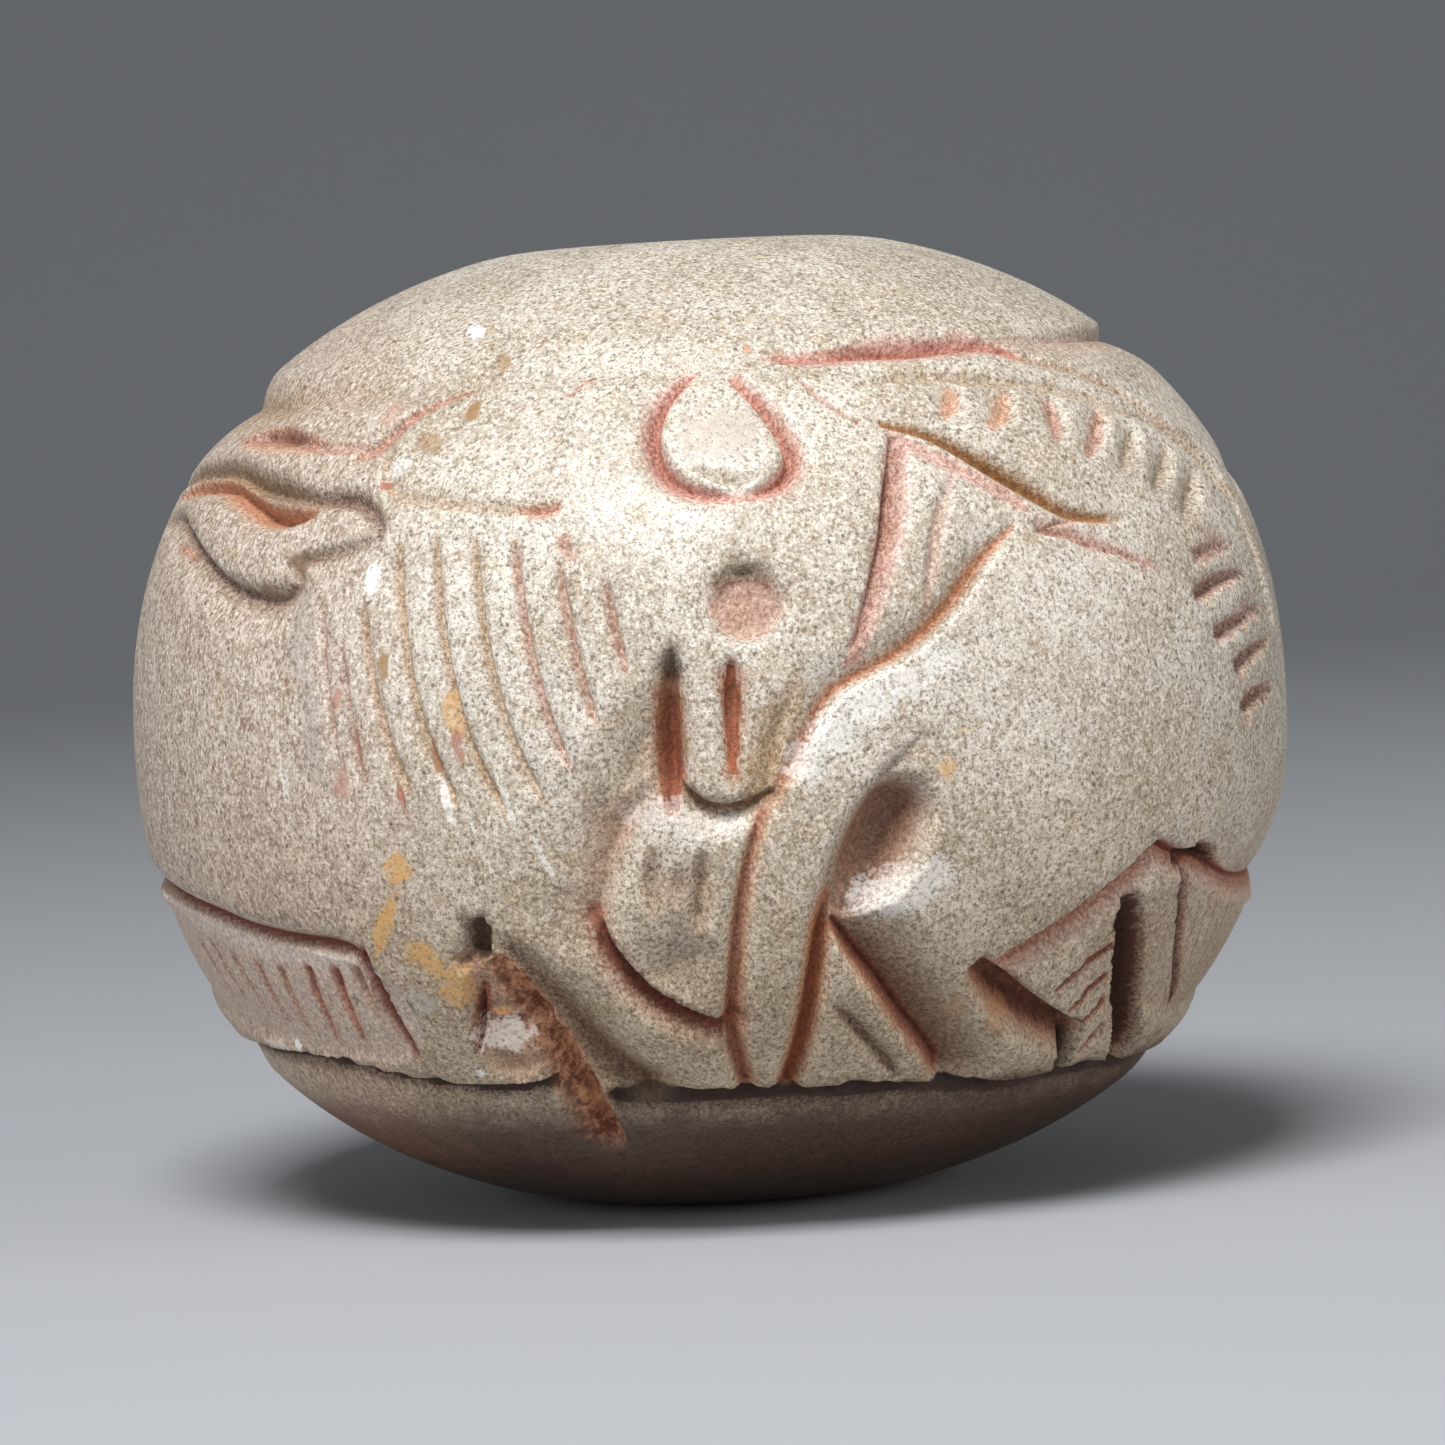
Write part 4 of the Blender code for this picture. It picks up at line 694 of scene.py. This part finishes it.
def dots(spot, scale, radius, share):
    """Specks: a blot of the given radius, in cells, in the given share of a Voronoi pattern's cells."""
    cell = nodes.node("ShaderNodeTexVoronoi", {"feature": "F1"}, Vector=spot, Scale=scale)
    lot = Value(nodes, cell.socket.node.outputs["Color"])
    chance = nodes.node("ShaderNodeSeparateColor", None, lot, output=0)
    return ramp(cell, radius * 1.35, radius * 0.65) * ramp(chance, 1 - share, 1.0 - share * 0.5)


across = nodes.node("ShaderNodeSeparateXYZ", None, in_mm, output=0)
up = nodes.node("ShaderNodeSeparateXYZ", None, in_mm, output=2)
sideways = vector("MULTIPLY", in_mm, (1.0, 1.0, 0.0))
off_axis = vector("LENGTH", sideways, output=1)
latitude = nodes.node("ShaderNodeMath", {"operation": "ARCTAN2"}, up - 1000 * MIDDLE, off_axis)
AROUND, UPWARDS = 15.0, 8.0
drawn_out = vector("ADD", vector("SCALE", vector("NORMALIZE", sideways), Scale=AROUND),
                   nodes.node("ShaderNodeCombineXYZ", None, 0.0, 0.0, UPWARDS * latitude))

cloud = noise_at(in_mm, 0.35, 1.0)
patch = noise_at(in_mm, 1.1, 2.0, 0.7)
mottle = noise_at(in_mm, 3.4, 2.0, 0.65)
grain = noise_at(in_mm, 9.0, 2.0, 0.75)
dust = noise_at(in_mm, 18.0, 1.0, 0.7)
fibre = noise_at(drawn_out, 5.6, 3.0, 0.70, 1.2)
leftness = ramp(across + 5.0 * (patch - 0.5), -5.5, -10.0)
hollow = attribute("hollow", "Fac")
broken = attribute("broken", "Fac")

CREAM, SAND, UNSHADED = (0.59, 0.535, 0.455), (0.455, 0.39, 0.305), (1, 1, 1)
body = blend(ramp(cloud, 0.36, 0.66), CREAM, SAND)
body = blend(0.80 * leftness, body, (0.44, 0.335, 0.265))
for strength, pattern, low, high, hue in ((0.55, patch, 0.55, 0.70, (0.47, 0.355, 0.215)),
                                          (0.62, mottle, 0.48, 0.66, (0.37, 0.295, 0.205)),
                                          (0.45, mottle, 0.48, 0.32, (0.72, 0.66, 0.58)),
                                          (0.75, grain, 0.52, 0.68, (0.82, 0.76, 0.67)),
                                          (0.90, grain, 0.50, 0.33, (0.185, 0.14, 0.095)),
                                          (0.40, dust, 0.46, 0.34, (0.17, 0.135, 0.095))):
    body = blend(strength * ramp(pattern, low, high), body, hue)
body = blend(0.75 * ramp(fibre, 0.46, 0.34) * leftness, body, (0.21, 0.11, 0.07))
body = blend(0.70 * ramp(fibre, 0.54, 0.64) * leftness, body, (0.68, 0.575, 0.47))

# The lower cap is darkened as painted shadow, less so at the left; the lower half is browner than the upper;
# and the hollows are darkened as painted shade, with some dirt.
foot_shade = blend(leftness, (0.19, 0.12, 0.095), (0.47, 0.29, 0.215))
shade = blend(ramp(up + 1.2 * (patch - 0.5), 4.1, 2.6), UNSHADED, foot_shade)
shade = vector("MULTIPLY", shade, blend(ramp(up, 14.0, 4.0), UNSHADED, (0.84, 0.735, 0.60)))
shade = vector("MULTIPLY", shade, blend(ramp(hollow, 0.08, 0.80), UNSHADED, (0.50, 0.38, 0.27)))
body = vector("MULTIPLY", body, shade)
specks = dots(in_mm, 2.6, 0.14, 0.60)
body = blend(0.75 * specks, body, (0.07, 0.055, 0.045))

# The break's rusty crumbs, and the cuts' red earth and painted shade, laid as earth holds in the stone's
# pores.
crumb = noise_at(in_mm, 3.2, 3.0, 0.8)
fracture = blend(ramp(crumb, 0.40, 0.64), (0.19, 0.065, 0.032), (0.68, 0.34, 0.19))
fracture = blend(0.8 * ramp(crumb, 0.66, 0.78), fracture, (0.80, 0.56, 0.40))
earth_and_shade = attribute("earth_and_shade", "Color")
amount = attribute("earth_and_shade", "Alpha")
patchy = ramp(grain + 0.7 * (dust - 0.5), 0.20, 0.66, 1.0, 0.60)
patchy = nodes.node("ShaderNodeMath", {"operation": "MAXIMUM"}, patchy, ramp(amount, 0.80, 0.95))
kept = 1.0 - amount * patchy
earth_and_shade_amount = patchy * ramp(grain + 0.3 * (mottle - 0.5), 0.36, 0.64, 0.70, 1.35)
colour = vector("ADD", vector("SCALE", body, Scale=kept), vector("SCALE", earth_and_shade, Scale=earth_and_shade_amount))
colour = blend(0.85 * broken, colour, fracture)

# The stains and the patches of painted highlight and shade, with frayed edges and flecks of stone between.
flecked = ramp(grain + 0.5 * (mottle - 0.5), 0.36, 0.54, 0.45, 1.0)
fray = 1.6 * (0.5 - mottle) + 0.8 * (0.5 - grain)
stain_and_painted_light_colour = attribute("stain", "Color")
stain_and_painted_light_dose = attribute("stain", "Alpha")
away = attribute("from_stain_and_painted_light", "Fac")
colour = blend(ramp(away + fray, 1.15, 0.6) * stain_and_painted_light_dose * flecked, colour, stain_and_painted_light_colour)

GRAIN_HEIGHT, MOTTLE_HEIGHT = 0.000016, 0.000012
height = GRAIN_HEIGHT * grain + MOTTLE_HEIGHT * mottle
bumpy = nodes.node("ShaderNodeBump", None, Strength=1.0, Distance=1.0, Height=height)
sheen = ramp(patch, 0.3, 0.7, 0.38, 0.50) + 0.42 * amount + 0.14 * (grain - 0.5) + 0.35 * broken
shader = nodes.tree.nodes.new("ShaderNodeBsdfPrincipled")
shader.inputs["Specular IOR Level"].default_value = 0.55
for name, value in (("Base Color", colour), ("Roughness", sheen), ("Normal", bumpy)):
    nodes.tree.links.new(value.socket, shader.inputs[name])
result = nodes.tree.nodes.new("ShaderNodeOutputMaterial")
nodes.tree.links.new(shader.outputs[0], result.inputs["Surface"])
bead_mesh.materials.append(stone)

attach(bead_piece, "root")
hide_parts("bead")

# The table: a pale sheet that sweeps up behind, lit by a soft lamp above and in front, and by a weaker
# one at each side.
SWEEP_START, SWEEP = 0.3, 0.35
sheet = bmesh.new()
bmesh.ops.create_grid(sheet, x_segments=1, y_segments=60, size=1.0)
for vert in sheet.verts:
    beyond = vert.co.y - SWEEP_START
    if beyond > 0:
        angle = min(beyond / SWEEP, math.pi / 2)
        rest = beyond - angle * SWEEP
        vert.co.y = SWEEP_START + SWEEP * math.sin(angle)
        vert.co.z = SWEEP * (1 - math.cos(angle)) + max(rest, 0)
sheet_mesh = bpy.data.meshes.new("table")
sheet.to_mesh(sheet_mesh)
sheet.free()
sheet_mesh.shade_smooth()
paper = bpy.data.materials.new("pale paper")
paper.use_nodes = True
finish = paper.node_tree.nodes["Principled BSDF"]
finish.inputs["Base Color"].default_value = (0.38, 0.39, 0.41, 1)
finish.inputs["Roughness"].default_value = 0.8
sheet_mesh.materials.append(paper)
table = bpy.data.objects.new("table", sheet_mesh)
bpy.context.scene.collection.objects.link(table)

TARGET = Vector((0, 0, MIDDLE))
for name, spot, power, size, hue in (("soft box", (-0.04, -0.18, 0.265), 1.35, 0.12, (0.985, 0.99, 1.0)),
                                     ("right fill", (0.30, -0.13, 0.08), 0.37, 0.16, (1.0, 0.985, 0.96)),
                                     ("left fill", (-0.28, -0.14, 0.09), 0.26, 0.16, (0.96, 0.98, 1.0))):
    lamp = bpy.data.lights.new(name, "AREA")
    lamp.energy, lamp.size, lamp.color = power, size, hue
    stand = bpy.data.objects.new(name, lamp)
    stand.location = spot
    stand.rotation_euler = (TARGET - Vector(spot)).to_track_quat("-Z", "Y").to_euler()
    bpy.context.scene.collection.objects.link(stand)
world = bpy.data.worlds.new("room")
world.use_nodes = True
air = world.node_tree.nodes["Background"]
air.inputs["Color"].default_value = (0.78, 0.83, 0.90, 1)
air.inputs["Strength"].default_value = 0.13
bpy.context.scene.world = world
bpy.context.scene.view_settings.view_transform = "Standard"

# The camera stands 165 mm off, 3 degrees above level, and leans a little, as the photograph's does. Its
# picture, its focal length and the place of the bead's middle are in pixels.
DISTANCE, LOOK_DOWN, LEAN = 0.165, math.radians(3.0), math.radians(-3.2)
SENSOR, PICTURE, FOCAL, CENTRE = 36, 1445, 6325, (710.0, 714.8)
forward = Vector((0, math.cos(LOOK_DOWN), -math.sin(LOOK_DOWN)))
level_up = Vector((1, 0, 0)).cross(forward)
right = Vector((1, 0, 0)) * math.cos(LEAN) + level_up * math.sin(LEAN)
upward = right.cross(forward)
lens = bpy.data.cameras.new("camera")
lens.sensor_width = SENSOR
lens.lens = SENSOR * FOCAL / PICTURE
lens.shift_x = (PICTURE / 2 - CENTRE[0]) / PICTURE
lens.shift_y = (CENTRE[1] - PICTURE / 2) / PICTURE
lens.clip_start = 0.001
camera = bpy.data.objects.new("camera", lens)
turned = Matrix((right, upward, -forward)).transposed().to_4x4()
camera.matrix_world = Matrix.Translation(TARGET - forward * DISTANCE) @ turned
bpy.context.scene.collection.objects.link(camera)
bpy.context.scene.camera = camera
